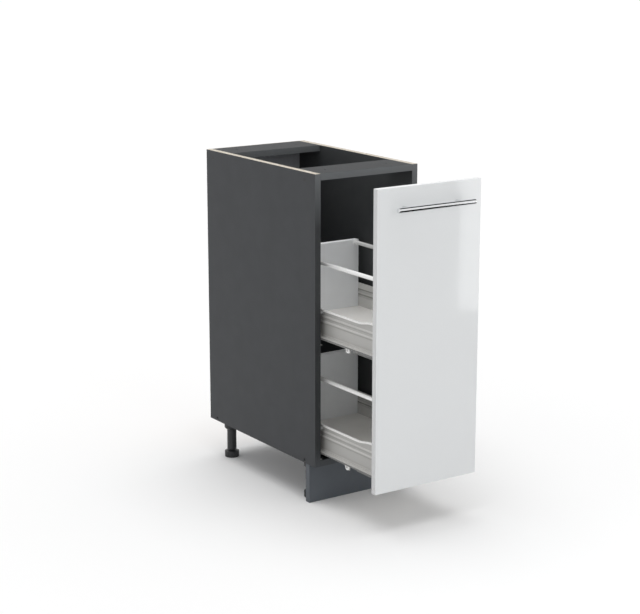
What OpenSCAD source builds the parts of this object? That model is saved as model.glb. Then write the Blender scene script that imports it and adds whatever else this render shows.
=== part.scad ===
// Pull-out larder base unit for a kitchen row: a narrow carcass on adjustable feet, and one
// front panel that carries two railed steel drawers on full extension roller runners.
// Millimetres. X is the width, -Y the front, +Z up, and z = 0 the floor. The origin is on the
// floor, in the middle of the plinth board's underside.
// The pull out is drawn part way open.

/* [Carcass] */
// Width over both side panels
carcass_w = 300; // [260:5:400]
// Depth from the front edges to the back
carcass_d = 500; // [480:5:600]
// Height of the side panels
side_h = 720; // [700:10:900]
// Thickness of the carcass boards
board_t = 16; // [15:0.5:19]
// Depth of each top rail, front to back
rail_w = 97; // [80:1:140]
// Thickness of the hardboard back
back_t = 3; // [3:0.5:5]
// Width of the step in each board that takes the back
back_rebate = 8; // [6:0.5:10]
// Distance from each outer face to the screws nearest the front and the back
fitting_inset = 36; // [30:1:48]
// Radius of the holes in the top rails for the worktop screws
worktop_hole_r = 2.5; // [2:0.25:3.5]
// Distance of the worktop holes from the middle of the unit
worktop_hole_x = 90; // [50:5:95]

/* [Legs and plinth] */
// Height of the carcass above the floor
leg_h = 100; // [90:5:150]
// Distance of the leg centres from the outer side faces
leg_inset_x = 35; // [30:1:45]
// Distance of the front leg centres behind the carcass front
leg_inset_front = 68; // [64:1:90]
// Distance of the rear leg centres from the carcass back
leg_inset_rear = 50; // [30:1:80]
// Outer radius of the leg tube
leg_tube_r = 12.3; // [11:0.1:15]
// Radius of the socket on top of the leg
leg_socket_r = 19; // [17:0.5:24]
// Height of the socket on top of the leg
leg_socket_h = 19; // [12:0.5:21]
// Radius of the spigot that plugs into the bottom panel
leg_spigot_r = 5; // [4:0.5:6]
// Radius of the screw foot's disc
foot_r = 19; // [17:0.5:25]
// Height of the screw foot's disc
foot_h = 18; // [12:1:25]
// Radius of the foot's threaded stem
foot_stem_r = 9; // [7:0.25:10]
// Length of the foot's stem
foot_stem_len = 48; // [40:1:55]
// Gap between the disc and the tube, as delivered
foot_gap = 3.3; // [3.3:0.1:8]
// Thickness of the plinth board
plinth_t = 16; // [12:0.5:19]
// Distance of the plinth's face behind the carcass front
plinth_setback = 30; // [20:1:34]
// Gap between the plinth's top and the carcass
plinth_top_gap = 2; // [1:0.5:5]
// Gap at each end of the plinth
plinth_end_gap = 3; // [1:0.5:6]

/* [Front panel] */
// Thickness of the front panel
front_t = 16; // [16:0.5:22]
// Gap round the edges of the front panel
front_reveal = 2; // [1.5:0.25:4]
// Gap behind the front panel when it is shut
shut_gap = 2; // [1.9:0.1:3]
// How far the pull out stands open
open_by = 230; // [120:5:400]
// Thickness of the buffers on the back of the front panel
buffer_t = 1.6; // [1:0.1:1.8]
// Radius of the buffers
buffer_r = 4; // [3:0.5:5]

/* [Handle] */
// Length of the handle bar
handle_len = 220; // [180:5:250]
// Radius of the handle bar
handle_r = 6; // [5:0.25:8]
// Distance from the front panel's face to the bar's centre line
handle_reach = 26; // [22:1:40]
// Distance between the two posts
handle_pitch = 152; // [96:8:168]
// Distance of the bar below the top edge of the front panel
handle_drop = 48; // [35:1:90]
// Radius of the posts
post_r = 4.5; // [4:0.25:5.5]
// Radius of the screws that hold the posts
handle_screw_r = 2; // [2:0.25:2.5]

/* [Drawers] */
// Height from one drawer to the next
drawer_pitch = 288; // [256:16:352]
// Height of the lower drawer's underside above the bottom panel
drawer_lift = 11.5; // [11.5:0.5:24]
// Height of the steel walls
wall_h = 75; // [68:1:90]
// Gap between each side panel and the flat of a drawer wall
side_gap = 15; // [14.8:0.1:16]
// Thickness of the sheet steel
sheet_t = 1.2; // [1:0.1:1.3]
// Heights of the two ribs, as distances below the rim
rib_drops = [18.5, 31.5];
// Height of a rib on the wall
rib_h = 9; // [7:0.5:11]
// How far a rib stands out
rib_depth = 2; // [1.2:0.1:2.5]
// How far the folded rim stands out
rim_out = 3.3; // [2.5:0.1:3.6]
// Depth of the folded rim's lip
rim_lip = 5; // [4:0.5:7]
// How far the rim rises towards the front panel
rim_rise = 7; // [0:0.5:12]
// Distance from the front panel to the point where the rise begins
rise_start = 92; // [70:1:110]
// Distance from the front panel to the point where the rise ends
rise_end = 40; // [20:1:60]
// Width of the ledge under the base board
ledge_w = 11; // [10:0.5:12]
// Thickness of the base board
base_t = 14; // [12:0.5:16]
// Thickness of the back board
back_board_t = 16; // [12:0.5:19]
// Height of the back board's top edge above the drawer's underside
back_board_h = 188.5; // [150:0.5:200]
// Radius of a railing rod
railing_r = 5; // [4:0.25:6]
// Height of the railing's centre line above the drawer's underside
railing_h = 182; // [140:0.5:182]
// Distance of a railing's centre line from the side panel
railing_gap = 26.5; // [22:0.5:30]
// Wall of a railing socket
socket_t = 1.5; // [1:0.25:2]
// Length of a railing socket
socket_len = 10; // [8:0.5:16]

/* [Runners] */
// Nominal length of the runners
runner_len = 450; // [430:5:460]
// Radius of the rollers that carry weight
roller_r = 7; // [6.6:0.1:7.2]
// Radius of a roller's pin
pin_r = 2; // [1.5:0.1:2.5]
// Radial play of a roller on its pin
pin_play = 0.06; // [0.03:0.01:0.1]
// Thickness of the middle profile's steel
middle_t = 1.5; // [1.2:0.1:1.6]
// Height of the middle profile
middle_h = 5.6; // [5.2:0.1:6]
// Radius of the guide buttons that steady the rims
button_r = 4; // [3:0.25:4.5]

/* [Hidden] */

$fn = 48;

// Sides: shapes are drawn on the right, and the left is their mirror image
RIGHT = 1;
LEFT = -1;

// General play between pieces that are put together, and between pieces that move
joint_play = 0.05;
slide_play = 0.3;

// Colours
ANTHRACITE = "#45474a";
RAW_BOARD = "#efe6cf";
HARDBOARD = "#9b9ca0";
WHITE_GLOSS = "#e6e7e9";
LIGHT_STEEL = "#d9d9d5";
BOARD_WHITE = "#dcdcdc";
CHROME = "#b9bcbf";
ZINC = "#a9abad";
NYLON = "#f2f2ef";
BLACK_PLASTIC = "#2b2b2c";
BEECH = "#d2b48c";

// Carcass
half_w = carcass_w / 2;
inner_half = half_w - board_t;
bottom_top_z = leg_h + board_t;
top_z = leg_h + side_h;
back_face_y = carcass_d - back_t;
rail_under_z = top_z - board_t;

// Confirmat screws: a flush head, a neck through the side and a thread in the bottom panel
confirmat_head_r = 5;
confirmat_head_t = 3;
confirmat_neck_r = 3.4;
confirmat_thread_r = 2.5;
confirmat_len = 50;
confirmat_z = leg_h + board_t / 2;

// Caps on the linking holes, just under the top rails
cap_r = 5;
cap_t = 2;
cap_stem_r = 2.4;
cap_z = rail_under_z - 2;

// Top rail joints: one dowel and one cam fitting at each end of a rail
dowel_r = 4;
dowel_len = 30;
dowel_depth = 10;
cam_r = 7.5;
cam_t = 12.5;
cam_inset = 24;
bolt_r = 3.4;
bolt_thread_len = 10;
rail_fitting_z = top_z - board_t / 2;
dowel_y = 27;
cam_y = 70;

// Pins in the edge of the back
pin_head_r = 2.5;
pin_head_t = 0.8;
pin_shank_r = 0.8;
pin_len = 12;
pin_count = 5;

// Legs
leg_x = half_w - leg_inset_x;
leg_front_y = leg_inset_front;
leg_rear_y = carcass_d - leg_inset_rear;
leg_taper_h = 6.5;
leg_spigot_len = 12;
tube_low_z = foot_h + foot_gap;
foot_shoulder = 2.5;
stem_play = 0.1;
stem_top_z = foot_h + foot_stem_len;
bore_top_z = leg_h - leg_taper_h - leg_socket_h;

// Plinth and its clips
plinth_half = half_w - plinth_end_gap;
plinth_back_y = plinth_setback + plinth_t;
plinth_h = leg_h - plinth_top_gap;
clip_t = 2.5;
clip_h = 22;
clip_gap = 6.5;
clip_low_z = bore_top_z - clip_gap - clip_h;
clip_plate_half = 15;
clip_plate_t = 3;
clip_arm_half = 5;
clip_screw_x = 11;
clip_screw_r = 1.6;
clip_screw_head_r = 3;
clip_screw_head_t = 1.8;
clip_screw_len = 12;

// The origin lies under the middle of the plinth
front_plane_y = -(plinth_setback + plinth_t / 2);

// Front panel
front_half = half_w - front_reveal;
front_low_z = leg_h + front_reveal;
front_top_z = top_z - front_reveal;
front_back_y = -open_by;
front_face_y = front_back_y - front_t;
travel = open_by - shut_gap;
middle_travel = travel / 2;
buffer_inset = 7;
buffer_drop = 20;

// Handle
handle_y = front_face_y - handle_reach;
handle_z = front_top_z - handle_drop;
handle_chamfer = 0.8;
handle_screw_head_r = 4;
handle_screw_head_t = 2.4;
handle_screw_grip = 12;

// Drawer walls
wall_x = inner_half - side_gap;
wall_in_x = wall_x - sheet_t;
wall_low_z = [bottom_top_z + drawer_lift, bottom_top_z + drawer_lift + drawer_pitch];
LOWER = 0;
UPPER = 1;
wall_front_y = front_back_y + 4;
drawer_len = runner_len - 4;
wall_overhang = 14;
wall_rear_y = front_back_y + drawer_len + wall_overhang;
rib_r = (rib_h * rib_h / 4 + rib_depth * rib_depth) / (2 * rib_depth);
rise_steps = 12;

// Boards of a drawer
base_play = 0.1;
base_half = wall_in_x - base_play;
base_front_y = front_back_y + 1.5;
back_board_rear_y = front_back_y + drawer_len;
back_board_front_y = back_board_rear_y - back_board_t;
base_top = sheet_t + base_t;

// Railings, with a countersunk screw in the floor of each socket
railing_x = inner_half - railing_gap;
socket_r = railing_r + socket_t;
socket_floor = 2;
socket_screw_r = 1.5;
socket_screw_head_r = 3;
socket_screw_head_t = 1.2;
socket_screw_grip = 10;

// Brackets
bracket_t = 1.2;
bracket_low = base_top + 3;
bracket_h = 46;
bracket_high = bracket_low + bracket_h;
bracket_w = 20;
bracket_leg = 22;
back_bracket_leg = 13;
foot_rail_w = 11;
foot_rail_h = 6;
foot_rail_len = 105;
bracket_screw_r = 1.8;
bracket_screw_head_r = 3.5;
bracket_screw_head_t = 1.8;
bracket_screw_grip = 11;
bracket_screw_inset = 12;
back_screw_inset = 8;

// Heights of the bracket screws above the bracket's lower end: in the front panel, in the wall
// and in the back board
front_screw_rises = [14, 36];
wall_screw_rises = [8, 38];
board_screw_rises = [14, 32];

// Base screws, driven up through the ledge
base_screw_r = 1.5;
base_screw_head_r = 2.8;
base_screw_head_t = 1.5;
base_screw_grip = 11;
base_screw_x = wall_in_x - ledge_w / 2;
base_screw_places = [130, 250, 370];
base_screw_y = [for (d = base_screw_places) front_back_y + d];

// Drawer runner: a leg on the wall, a shelf over the rollers and a short lip
shelf_under = 7.4;
shelf_top = shelf_under + sheet_t;
lip_low = 4.5;
lip_out_x = inner_half - sheet_t - 2 * slide_play;
leg_high = 13.5;
drawer_runner_rear_y = front_back_y + drawer_len + 2;
hanger_len = 22;
hanger_low = -9.5;

// Middle runner: an inverted channel with a roller in front and one behind
middle_top = shelf_under - 0.5;
middle_flange_under = middle_top - middle_t;
middle_low = middle_top - middle_h;
middle_out_x = lip_out_x - sheet_t - slide_play;
middle_web_x = middle_out_x - 4.1;
middle_in_x = wall_x + sheet_t + 0.6;
middle_front_y = 1 - middle_travel;
middle_rear_y = middle_front_y + drawer_len;
tab_len = 16;
tab_low = -8;

// Cabinet runner: a tall leg on the side panel and a channel for the rear roller
cabinet_front_y = 3;
cabinet_rear_y = cabinet_front_y + runner_len;
cabinet_low = -11.4;
cabinet_channel_top = 1.2;
cabinet_leg_high = 24;
cabinet_corner_cut = 12;
cabinet_leg_x = inner_half - sheet_t;
cabinet_flange_x = middle_web_x + 0.4;
cabinet_mouth = 38;
runner_screw_z = 16.5;
runner_screw_y = [37, 165, 389];
runner_screw_r = 2.5;
runner_screw_head_r = 4;
runner_screw_head_t = 2;
runner_screw_grip = 12;
slot_y = [101, 277, 333];
slot_half = 6;
slot_r = 2.2;

// Rollers: each is set by the face that it rolls on
roll_play = 0.3;
rear_roller_r = (cabinet_channel_top - cabinet_low - sheet_t) / 2 - roll_play;
front_roller_z = shelf_under - roll_play - roller_r;
under_roller_z = middle_flange_under - roll_play - roller_r;
rear_roller_z = cabinet_low + sheet_t + roll_play + rear_roller_r;
cabinet_roller_y = 24;
front_roller_y = middle_front_y + 7;
rear_roller_y = middle_rear_y - 8;
drawer_roller_y = drawer_runner_rear_y - 8;
outer_lane = [middle_web_x + 0.5, middle_out_x - 0.1];
inner_lane = [wall_x + sheet_t + 0.5, middle_web_x - middle_t - 1.1];
pin_flange_r = 3.2;
pin_flange_t = 0.6;
roller_rim_r = 0.6;
bore_chamfer = 0.4;

// Guide buttons
button_y = 8;
button_drop = 6.5;
button_base_r = button_r + 2;
button_base_t = 2;
rim_x = wall_x + rim_out;

// ---------------------------------------------------------------- helpers

// Moves what is drawn from the carcass front plane into the unit's own frame
module from_front() {
    translate([0, front_plane_y, 0]) children();
}

module on_side(side) {
    if (side == RIGHT) children();
    else mirror([1, 0, 0]) children();
}

module both_sides() {
    children();
    mirror([1, 0, 0]) children();
}

// A box from its lowest corner to its highest
module box(lo, hi) {
    translate(lo) cube(hi - lo);
}

// Extrudes an X-Z outline from y0 to y1
module along_y(y0, y1) {
    translate([0, y1, 0]) rotate([90, 0, 0]) linear_extrude(y1 - y0) children();
}

// Extrudes a Y-Z outline from x0 to x1
module along_x(x0, x1) {
    translate([x0, 0, 0]) rotate([90, 0, 90]) linear_extrude(x1 - x0) children();
}

module rod_x(x0, x1, r) {
    translate([x0, 0, 0]) rotate([0, 90, 0]) cylinder(h = x1 - x0, r = r);
}

module rod_y(y0, y1, r) {
    translate([0, y0, 0]) rotate([-90, 0, 0]) cylinder(h = y1 - y0, r = r);
}

// A bar along X with chamfered ends
module chamfered_bar_x(x0, x1, r, c) {
    translate([x0, 0, 0]) rotate([0, 90, 0]) rotate_extrude()
        polygon([[0, 0], [r - c, 0], [r, c], [r, x1 - x0 - c], [r - c, x1 - x0], [0, x1 - x0]]);
}

// ---------------------------------------------------------------- carcass

module confirmat_places() {
    for (y = [fitting_inset + 11, carcass_d - fitting_inset])
        translate([0, y, confirmat_z]) children();
}

module cap_places() {
    for (y = [fitting_inset + 9, carcass_d - fitting_inset + 4])
        translate([0, y, cap_z]) children();
}

// Places a fitting at the end of each top rail, at a distance from the rail's front edge
module rail_places(y) {
    for (rail_y = [y, back_face_y - rail_w + y])
        translate([0, rail_y, rail_fitting_z]) children();
}

module dowel_holes() {
    rail_places(dowel_y)
        rod_x(inner_half - dowel_len + dowel_depth - 0.5, inner_half + dowel_depth + 0.5,
              dowel_r + joint_play);
}

module bolt_holes() {
    rail_places(cam_y)
        rod_x(inner_half - cam_inset, inner_half + bolt_thread_len + 0.5, bolt_r + joint_play);
}

module confirmat_hole() {
    rod_x(half_w - confirmat_head_t - joint_play, half_w + 1, confirmat_head_r + joint_play);
    rod_x(inner_half - 1, half_w, confirmat_neck_r + joint_play);
    rod_x(half_w - confirmat_len - 1, half_w, confirmat_thread_r + joint_play);
}

module runner_screw_holes() {
    for (level = [LOWER, UPPER], y = runner_screw_y)
        translate([0, y, wall_low_z[level] + runner_screw_z])
            rod_x(inner_half - 1, inner_half + runner_screw_grip + 0.5,
                  runner_screw_r + joint_play);
}

module button_places() {
    for (level = [LOWER, UPPER])
        translate([0, button_y, wall_low_z[level] + wall_h - button_drop]) children();
}

module side_panel(side) {
    color(ANTHRACITE) from_front() on_side(side) difference() {
        box([inner_half, 0, leg_h], [half_w, carcass_d, top_z]);
        box([inner_half - 1, back_face_y, leg_h - 1],
            [inner_half + back_rebate, carcass_d + 1, top_z + 1]);
        confirmat_places() confirmat_hole();
        cap_places() {
            rod_x(half_w - cap_t - joint_play, half_w + 1, cap_r + joint_play);
            rod_x(inner_half - 1, half_w, cap_stem_r + joint_play);
        }
        dowel_holes();
        bolt_holes();
        runner_screw_holes();
        button_places()
            rod_x(inner_half - 1, inner_half + 8, pin_r + joint_play);
        back_pin_places()
            rod_y(carcass_d - pin_len - 0.5, carcass_d, pin_shank_r + joint_play);
    }
}

module bottom_panel() {
    color(ANTHRACITE) from_front() difference() {
        box([-inner_half, 0, leg_h], [inner_half, back_face_y, bottom_top_z]);
        both_sides() {
            confirmat_places() confirmat_hole();
            for (y = [leg_front_y, leg_rear_y])
                translate([leg_x, y, leg_h - 1])
                    cylinder(h = leg_spigot_len + 1.5, r = leg_spigot_r + joint_play);
        }
    }
}

module rail_board(y0) {
    color(ANTHRACITE) from_front() difference() {
        box([-inner_half, y0, rail_under_z], [inner_half, y0 + rail_w, top_z]);
        both_sides() {
            dowel_holes();
            bolt_holes();
            rail_places(cam_y)
                translate([inner_half - cam_inset, 0, -board_t / 2 - 1])
                    cylinder(h = cam_t + 1 + joint_play, r = cam_r + joint_play);
            translate([worktop_hole_x, y0 + rail_w / 2, rail_under_z - 1])
                cylinder(h = board_t + 2, r = worktop_hole_r);
        }
    }
}

module back_panel() {
    color(HARDBOARD) from_front() difference() {
        box([-inner_half - back_rebate + joint_play, back_face_y, leg_h],
            [inner_half + back_rebate - joint_play, carcass_d, top_z]);
        both_sides() back_pin_places() {
            rod_y(back_face_y - 1, carcass_d + 1, pin_shank_r + joint_play);
            rod_y(carcass_d - pin_head_t - joint_play, carcass_d + 1, pin_head_r + joint_play);
        }
    }
}

module back_pin_places() {
    for (i = [0 : pin_count - 1])
        translate([inner_half + back_rebate / 2, 0,
                   leg_h + board_t + i * (side_h - 2 * board_t) / (pin_count - 1)])
            children();
}

module back_panel_pins() {
    color(ZINC) from_front() both_sides() back_pin_places() {
        rod_y(carcass_d - pin_len, carcass_d, pin_shank_r);
        rod_y(carcass_d - pin_head_t, carcass_d, pin_head_r);
    }
}

module rail_dowels() {
    color(BEECH) from_front() both_sides() rail_places(dowel_y)
        rod_x(inner_half - dowel_len + dowel_depth, inner_half + dowel_depth, dowel_r);
}

// A cam: a drum in the rail's underside, cut to take the bolt's head, with a driver slot
module rail_cams() {
    color(ZINC) from_front() both_sides() rail_places(cam_y)
        translate([inner_half - cam_inset, 0, -board_t / 2]) difference() {
            cylinder(h = cam_t, r = cam_r);
            translate([0, 0, board_t / 2]) rod_x(0, cam_r + 1, bolt_r + joint_play);
            box([-cam_r - 1, -0.6, -1], [cam_r + 1, 0.6, 1.5]);
            box([-0.6, -cam_r - 1, -1], [0.6, cam_r + 1, 1.5]);
        }
}

// A cam bolt: a thread in the side panel, a plain shank and a ball head in the cam
module cam_bolts() {
    neck_r = 1.6;
    head_len = 4;
    color(ZINC) from_front() both_sides() rail_places(cam_y) {
        rod_x(inner_half, inner_half + bolt_thread_len, bolt_r);
        rod_x(inner_half - cam_inset + 2, inner_half, neck_r);
        rod_x(inner_half - cam_inset + 1, inner_half - cam_inset + 1 + head_len, bolt_r - 0.4);
    }
}

module confirmat_screws() {
    socket_r = 2.3;
    color(ZINC) from_front() both_sides() confirmat_places() difference() {
        union() {
            rod_x(half_w - confirmat_head_t, half_w, confirmat_head_r);
            rod_x(inner_half, half_w, confirmat_neck_r);
            rod_x(half_w - confirmat_len, half_w, confirmat_thread_r);
        }
        translate([half_w - 2, 0, 0]) rotate([0, 90, 0]) cylinder(h = 3, r = socket_r, $fn = 6);
    }
}

module linking_hole_caps() {
    color(ANTHRACITE) from_front() both_sides() cap_places() {
        rod_x(half_w - cap_t, half_w, cap_r);
        rod_x(inner_half + board_t / 2, half_w, cap_stem_r);
    }
}

// ---------------------------------------------------------------- legs and plinth

module leg_places(sx, y) {
    translate([sx * leg_x, y, 0]) children();
}

module leg(sx, y) {
    bore_r = foot_stem_r + stem_play;
    color(BLACK_PLASTIC) from_front() leg_places(sx, y) rotate_extrude() polygon([
        [0, bore_top_z], [bore_r, bore_top_z], [bore_r, tube_low_z],
        [leg_tube_r, tube_low_z], [leg_tube_r, bore_top_z],
        [leg_socket_r, leg_h - leg_socket_h], [leg_socket_r, leg_h],
        [leg_spigot_r, leg_h], [leg_spigot_r, leg_h + leg_spigot_len - 1],
        [leg_spigot_r - 1, leg_h + leg_spigot_len], [0, leg_h + leg_spigot_len]
    ]);
}

// A screw foot: a disc with a bevelled shoulder, grip notches in its rim and a hollow stem
module foot(sx, y) {
    notch_r = 1.6;
    notches = 12;
    stem_wall = 2.5;
    color(BLACK_PLASTIC) from_front() leg_places(sx, y) difference() {
        rotate_extrude() polygon([
            [0, 0], [foot_r - 1, 0], [foot_r, 1], [foot_r, foot_h - foot_shoulder],
            [foot_stem_r + 3, foot_h], [foot_stem_r, foot_h],
            [foot_stem_r, stem_top_z - 1], [foot_stem_r - 1, stem_top_z],
            [foot_stem_r - stem_wall, stem_top_z], [foot_stem_r - stem_wall, 4], [0, 4]
        ]);
        for (i = [0 : notches - 1])
            rotate([0, 0, i * 360 / notches]) translate([foot_r + 0.4, 0, 3])
                cylinder(h = foot_h, r = notch_r);
    }
}

module clip_screw_places() {
    for (sx = [-1, 1], dx = [-1, 1])
        translate([sx * leg_x + dx * clip_screw_x, 0, clip_low_z + clip_h / 2]) children();
}

module plinth() {
    color(ANTHRACITE) from_front() difference() {
        box([-plinth_half, plinth_setback, 0], [plinth_half, plinth_back_y, plinth_h]);
        clip_screw_places()
            rod_y(plinth_back_y - clip_screw_len + clip_plate_t - 0.5, plinth_back_y + 1,
                  clip_screw_r + joint_play);
    }
}

// A clip: a plate on the plinth, an arm and an open ring that snaps round the leg's tube
module plinth_clips() {
    ring_r = leg_tube_r + slide_play;
    mouth_half = 60;
    reach = 2 * ring_r;
    color(BLACK_PLASTIC) from_front() for (sx = [-1, 1])
        translate([sx * leg_x, 0, clip_low_z]) difference() {
            union() {
                box([-clip_plate_half, plinth_back_y, 0],
                    [clip_plate_half, plinth_back_y + clip_plate_t, clip_h]);
                box([-clip_arm_half, plinth_back_y, 0], [clip_arm_half, leg_front_y, clip_h]);
                translate([0, leg_front_y, 0]) cylinder(h = clip_h, r = ring_r + clip_t);
            }
            translate([0, leg_front_y, -1]) cylinder(h = clip_h + 2, r = ring_r);
            translate([0, leg_front_y, -1]) linear_extrude(clip_h + 2) polygon([
                [0, 0], [-reach * tan(mouth_half), reach], [reach * tan(mouth_half), reach]
            ]);
            for (dx = [-1, 1]) translate([dx * clip_screw_x, 0, clip_h / 2])
                rod_y(plinth_back_y - 1, plinth_back_y + clip_plate_t + 1,
                      clip_screw_r + joint_play);
        }
}

module plinth_clip_screws() {
    color(ZINC) from_front() clip_screw_places() {
        rod_y(plinth_back_y + clip_plate_t, plinth_back_y + clip_plate_t + clip_screw_head_t,
              clip_screw_head_r);
        rod_y(plinth_back_y - clip_screw_len + clip_plate_t, plinth_back_y + clip_plate_t,
              clip_screw_r);
    }
}

// ---------------------------------------------------------------- runners

// A pin riveted to a profile at x0, with a flange at its free end x1
module roller_pin(x0, x1) {
    flange_x = x1 > x0 ? x1 - pin_flange_t : x1;
    rod_x(min(x0, x1), max(x0, x1), pin_r);
    rod_x(flange_x, flange_x + pin_flange_t, pin_flange_r);
}

// A roller between two X places, with rounded edges, a bore and a recessed web
module roller(lane, r) {
    w = lane[1] - lane[0];
    e = roller_rim_r;
    bore_r = pin_r + pin_play;
    recess_r = r - 1.2;
    recess = 0.5;
    hub_r = pin_flange_r + 0.4;
    translate([lane[0], 0, 0]) rotate([0, 90, 0]) rotate_extrude() polygon([
        [bore_r, 0], [hub_r, 0], [hub_r + 0.3, recess], [recess_r, recess], [recess_r + 0.3, 0],
        [r - e, 0], [r, e], [r, w - e], [r - e, w],
        [recess_r + 0.3, w], [recess_r, w - recess], [hub_r + 0.3, w - recess], [hub_r, w],
        [bore_r, w]
    ]);
}

module cabinet_runner(level, side) {
    z = wall_low_z[level];
    channel_front_y = cabinet_front_y + cabinet_mouth;
    color(LIGHT_STEEL) from_front() on_side(side) difference() {
        union() {
            box([cabinet_leg_x, cabinet_front_y, z + cabinet_low],
                [inner_half, cabinet_rear_y, z + cabinet_leg_high]);
            box([cabinet_flange_x, cabinet_front_y, z + cabinet_low],
                [inner_half, cabinet_rear_y, z + cabinet_low + sheet_t]);
            box([cabinet_flange_x, channel_front_y, z + cabinet_channel_top],
                [inner_half, cabinet_rear_y, z + cabinet_channel_top + sheet_t]);
            box([cabinet_flange_x, cabinet_rear_y - sheet_t, z + cabinet_low],
                [inner_half, cabinet_rear_y, z + cabinet_channel_top + sheet_t]);
            translate([0, cabinet_roller_y, z + under_roller_z])
                roller_pin(cabinet_leg_x, outer_lane[0] - 0.1);
        }
        for (y = runner_screw_y) translate([0, y, z + runner_screw_z])
            rod_x(cabinet_leg_x - 1, inner_half + 1, runner_screw_r + joint_play);
        // slotted holes between the screws, and a cut-back corner in front
        for (y = slot_y) {
            for (dy = [-slot_half, slot_half]) translate([0, y + dy, z + runner_screw_z])
                rod_x(cabinet_leg_x - 1, inner_half + 1, slot_r);
            box([cabinet_leg_x - 1, y - slot_half, z + runner_screw_z - slot_r],
                [inner_half + 1, y + slot_half, z + runner_screw_z + slot_r]);
        }
        translate([cabinet_leg_x - 1, cabinet_front_y, z + cabinet_leg_high])
            rotate([45, 0, 0]) cube([sheet_t + 2, cabinet_corner_cut, cabinet_corner_cut]);
    }
}

module runner_screws() {
    color(ZINC) from_front() both_sides()
        for (level = [LOWER, UPPER], y = runner_screw_y)
            translate([0, y, wall_low_z[level] + runner_screw_z]) {
                rod_x(cabinet_leg_x - runner_screw_head_t, cabinet_leg_x, runner_screw_head_r);
                rod_x(cabinet_leg_x, inner_half + runner_screw_grip, runner_screw_r);
            }
}

module guide_buttons() {
    color(NYLON) from_front() both_sides() button_places() {
        rod_x(inner_half - button_base_t, inner_half, button_base_r);
        chamfered_bar_x(rim_x + 0.5, inner_half, button_r, 0.6);
        rod_x(inner_half, inner_half + 7.5, pin_r);
    }
}

module middle_runner(level, side) {
    z = wall_low_z[level];
    web_in_x = middle_web_x - middle_t;
    color(LIGHT_STEEL) from_front() on_side(side) {
        difference() {
            box([middle_in_x, middle_front_y, z + middle_flange_under],
                [middle_out_x, middle_rear_y, z + middle_top]);
            // room for the front roller, which reaches up to the drawer's shelf
            box([middle_web_x, middle_front_y - 1, z + middle_low],
                [middle_out_x + 1, front_roller_y + roller_r + 1, z + middle_top + 1]);
        }
        along_x(web_in_x, middle_web_x) polygon([
            [middle_front_y, z + middle_top],
            [middle_front_y, z + tab_low + 3], [middle_front_y + 3, z + tab_low],
            [middle_front_y + tab_len, z + tab_low], [middle_front_y + tab_len + 6, z + middle_low],
            [middle_rear_y - tab_len - 6, z + middle_low], [middle_rear_y - tab_len, z + tab_low],
            [middle_rear_y, z + tab_low], [middle_rear_y, z + middle_top]
        ]);
        translate([0, front_roller_y, z + front_roller_z])
            roller_pin(web_in_x, outer_lane[1] + 0.1 + pin_flange_t);
        translate([0, rear_roller_y, z + rear_roller_z])
            roller_pin(web_in_x, outer_lane[1] + 0.1 + pin_flange_t);
    }
}

module roller_pair(level, lane, r, y, dz) {
    color(NYLON) from_front() both_sides()
        translate([0, y, wall_low_z[level] + dz]) roller(lane, r);
}

// The cabinet's roller is a little narrower, because its pin's flange faces the middle profile
module cabinet_rollers(level)
    roller_pair(level, [outer_lane[0] + pin_flange_t, outer_lane[1]], roller_r,
                cabinet_roller_y, under_roller_z);

module middle_front_rollers(level)
    roller_pair(level, outer_lane, roller_r, front_roller_y, front_roller_z);

module middle_rear_rollers(level)
    roller_pair(level, outer_lane, rear_roller_r, rear_roller_y, rear_roller_z);

module drawer_rollers(level)
    roller_pair(level, inner_lane, roller_r, drawer_roller_y, under_roller_z);

// ---------------------------------------------------------------- front panel and handle

module handle_places() {
    for (sx = [-1, 1]) translate([sx * handle_pitch / 2, 0, handle_z]) children();
}

module front_bracket_screw_places() {
    for (level = [LOWER, UPPER], dz = front_screw_rises)
        translate([wall_in_x - bracket_screw_inset, 0, wall_low_z[level] + bracket_low + dz])
            children();
}

module front_panel() {
    color(WHITE_GLOSS) from_front() difference() {
        box([-front_half, front_face_y, front_low_z], [front_half, front_back_y, front_top_z]);
        handle_places()
            rod_y(front_face_y - 1, front_back_y + 1, handle_screw_r + 0.5);
        both_sides() {
            front_bracket_screw_places()
                rod_y(front_back_y - bracket_screw_grip - 0.5, front_back_y + 1,
                      bracket_screw_r + joint_play);
            railing_places()
                rod_y(front_back_y - socket_screw_grip - 0.5, front_back_y + 1,
                      socket_screw_r + joint_play);
        }
    }
}

module handle_bar() {
    color(CHROME) from_front() translate([0, handle_y, handle_z])
        chamfered_bar_x(-handle_len / 2, handle_len / 2, handle_r, handle_chamfer);
}

// Each post ends in a saddle that fits the bar
module handle_posts() {
    screw_depth = handle_screw_grip + 1;
    color(CHROME) from_front() handle_places() difference() {
        rod_y(handle_y, front_face_y, post_r);
        translate([0, handle_y, 0]) rod_x(-post_r - 1, post_r + 1, handle_r);
        rod_y(front_face_y - screw_depth, front_face_y + 1, handle_screw_r + joint_play);
    }
}

module handle_screws() {
    color(ZINC) from_front() handle_places() difference() {
        union() {
            rod_y(front_back_y, front_back_y + handle_screw_head_t, handle_screw_head_r);
            rod_y(front_face_y - handle_screw_grip, front_back_y, handle_screw_r);
        }
        box([-0.5, front_back_y + handle_screw_head_t - 1, -handle_screw_head_r],
            [0.5, front_back_y + handle_screw_head_t + 1, handle_screw_head_r]);
    }
}

module front_buffers() {
    color(NYLON) from_front() both_sides()
        for (z = [front_low_z + buffer_drop, front_top_z - buffer_drop])
            translate([front_half - buffer_inset, 0, z])
                rod_y(front_back_y, front_back_y + buffer_t, buffer_r);
}

// ---------------------------------------------------------------- drawers

function smooth_step(t) = (1 - cos(180 * t)) / 2;

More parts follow.
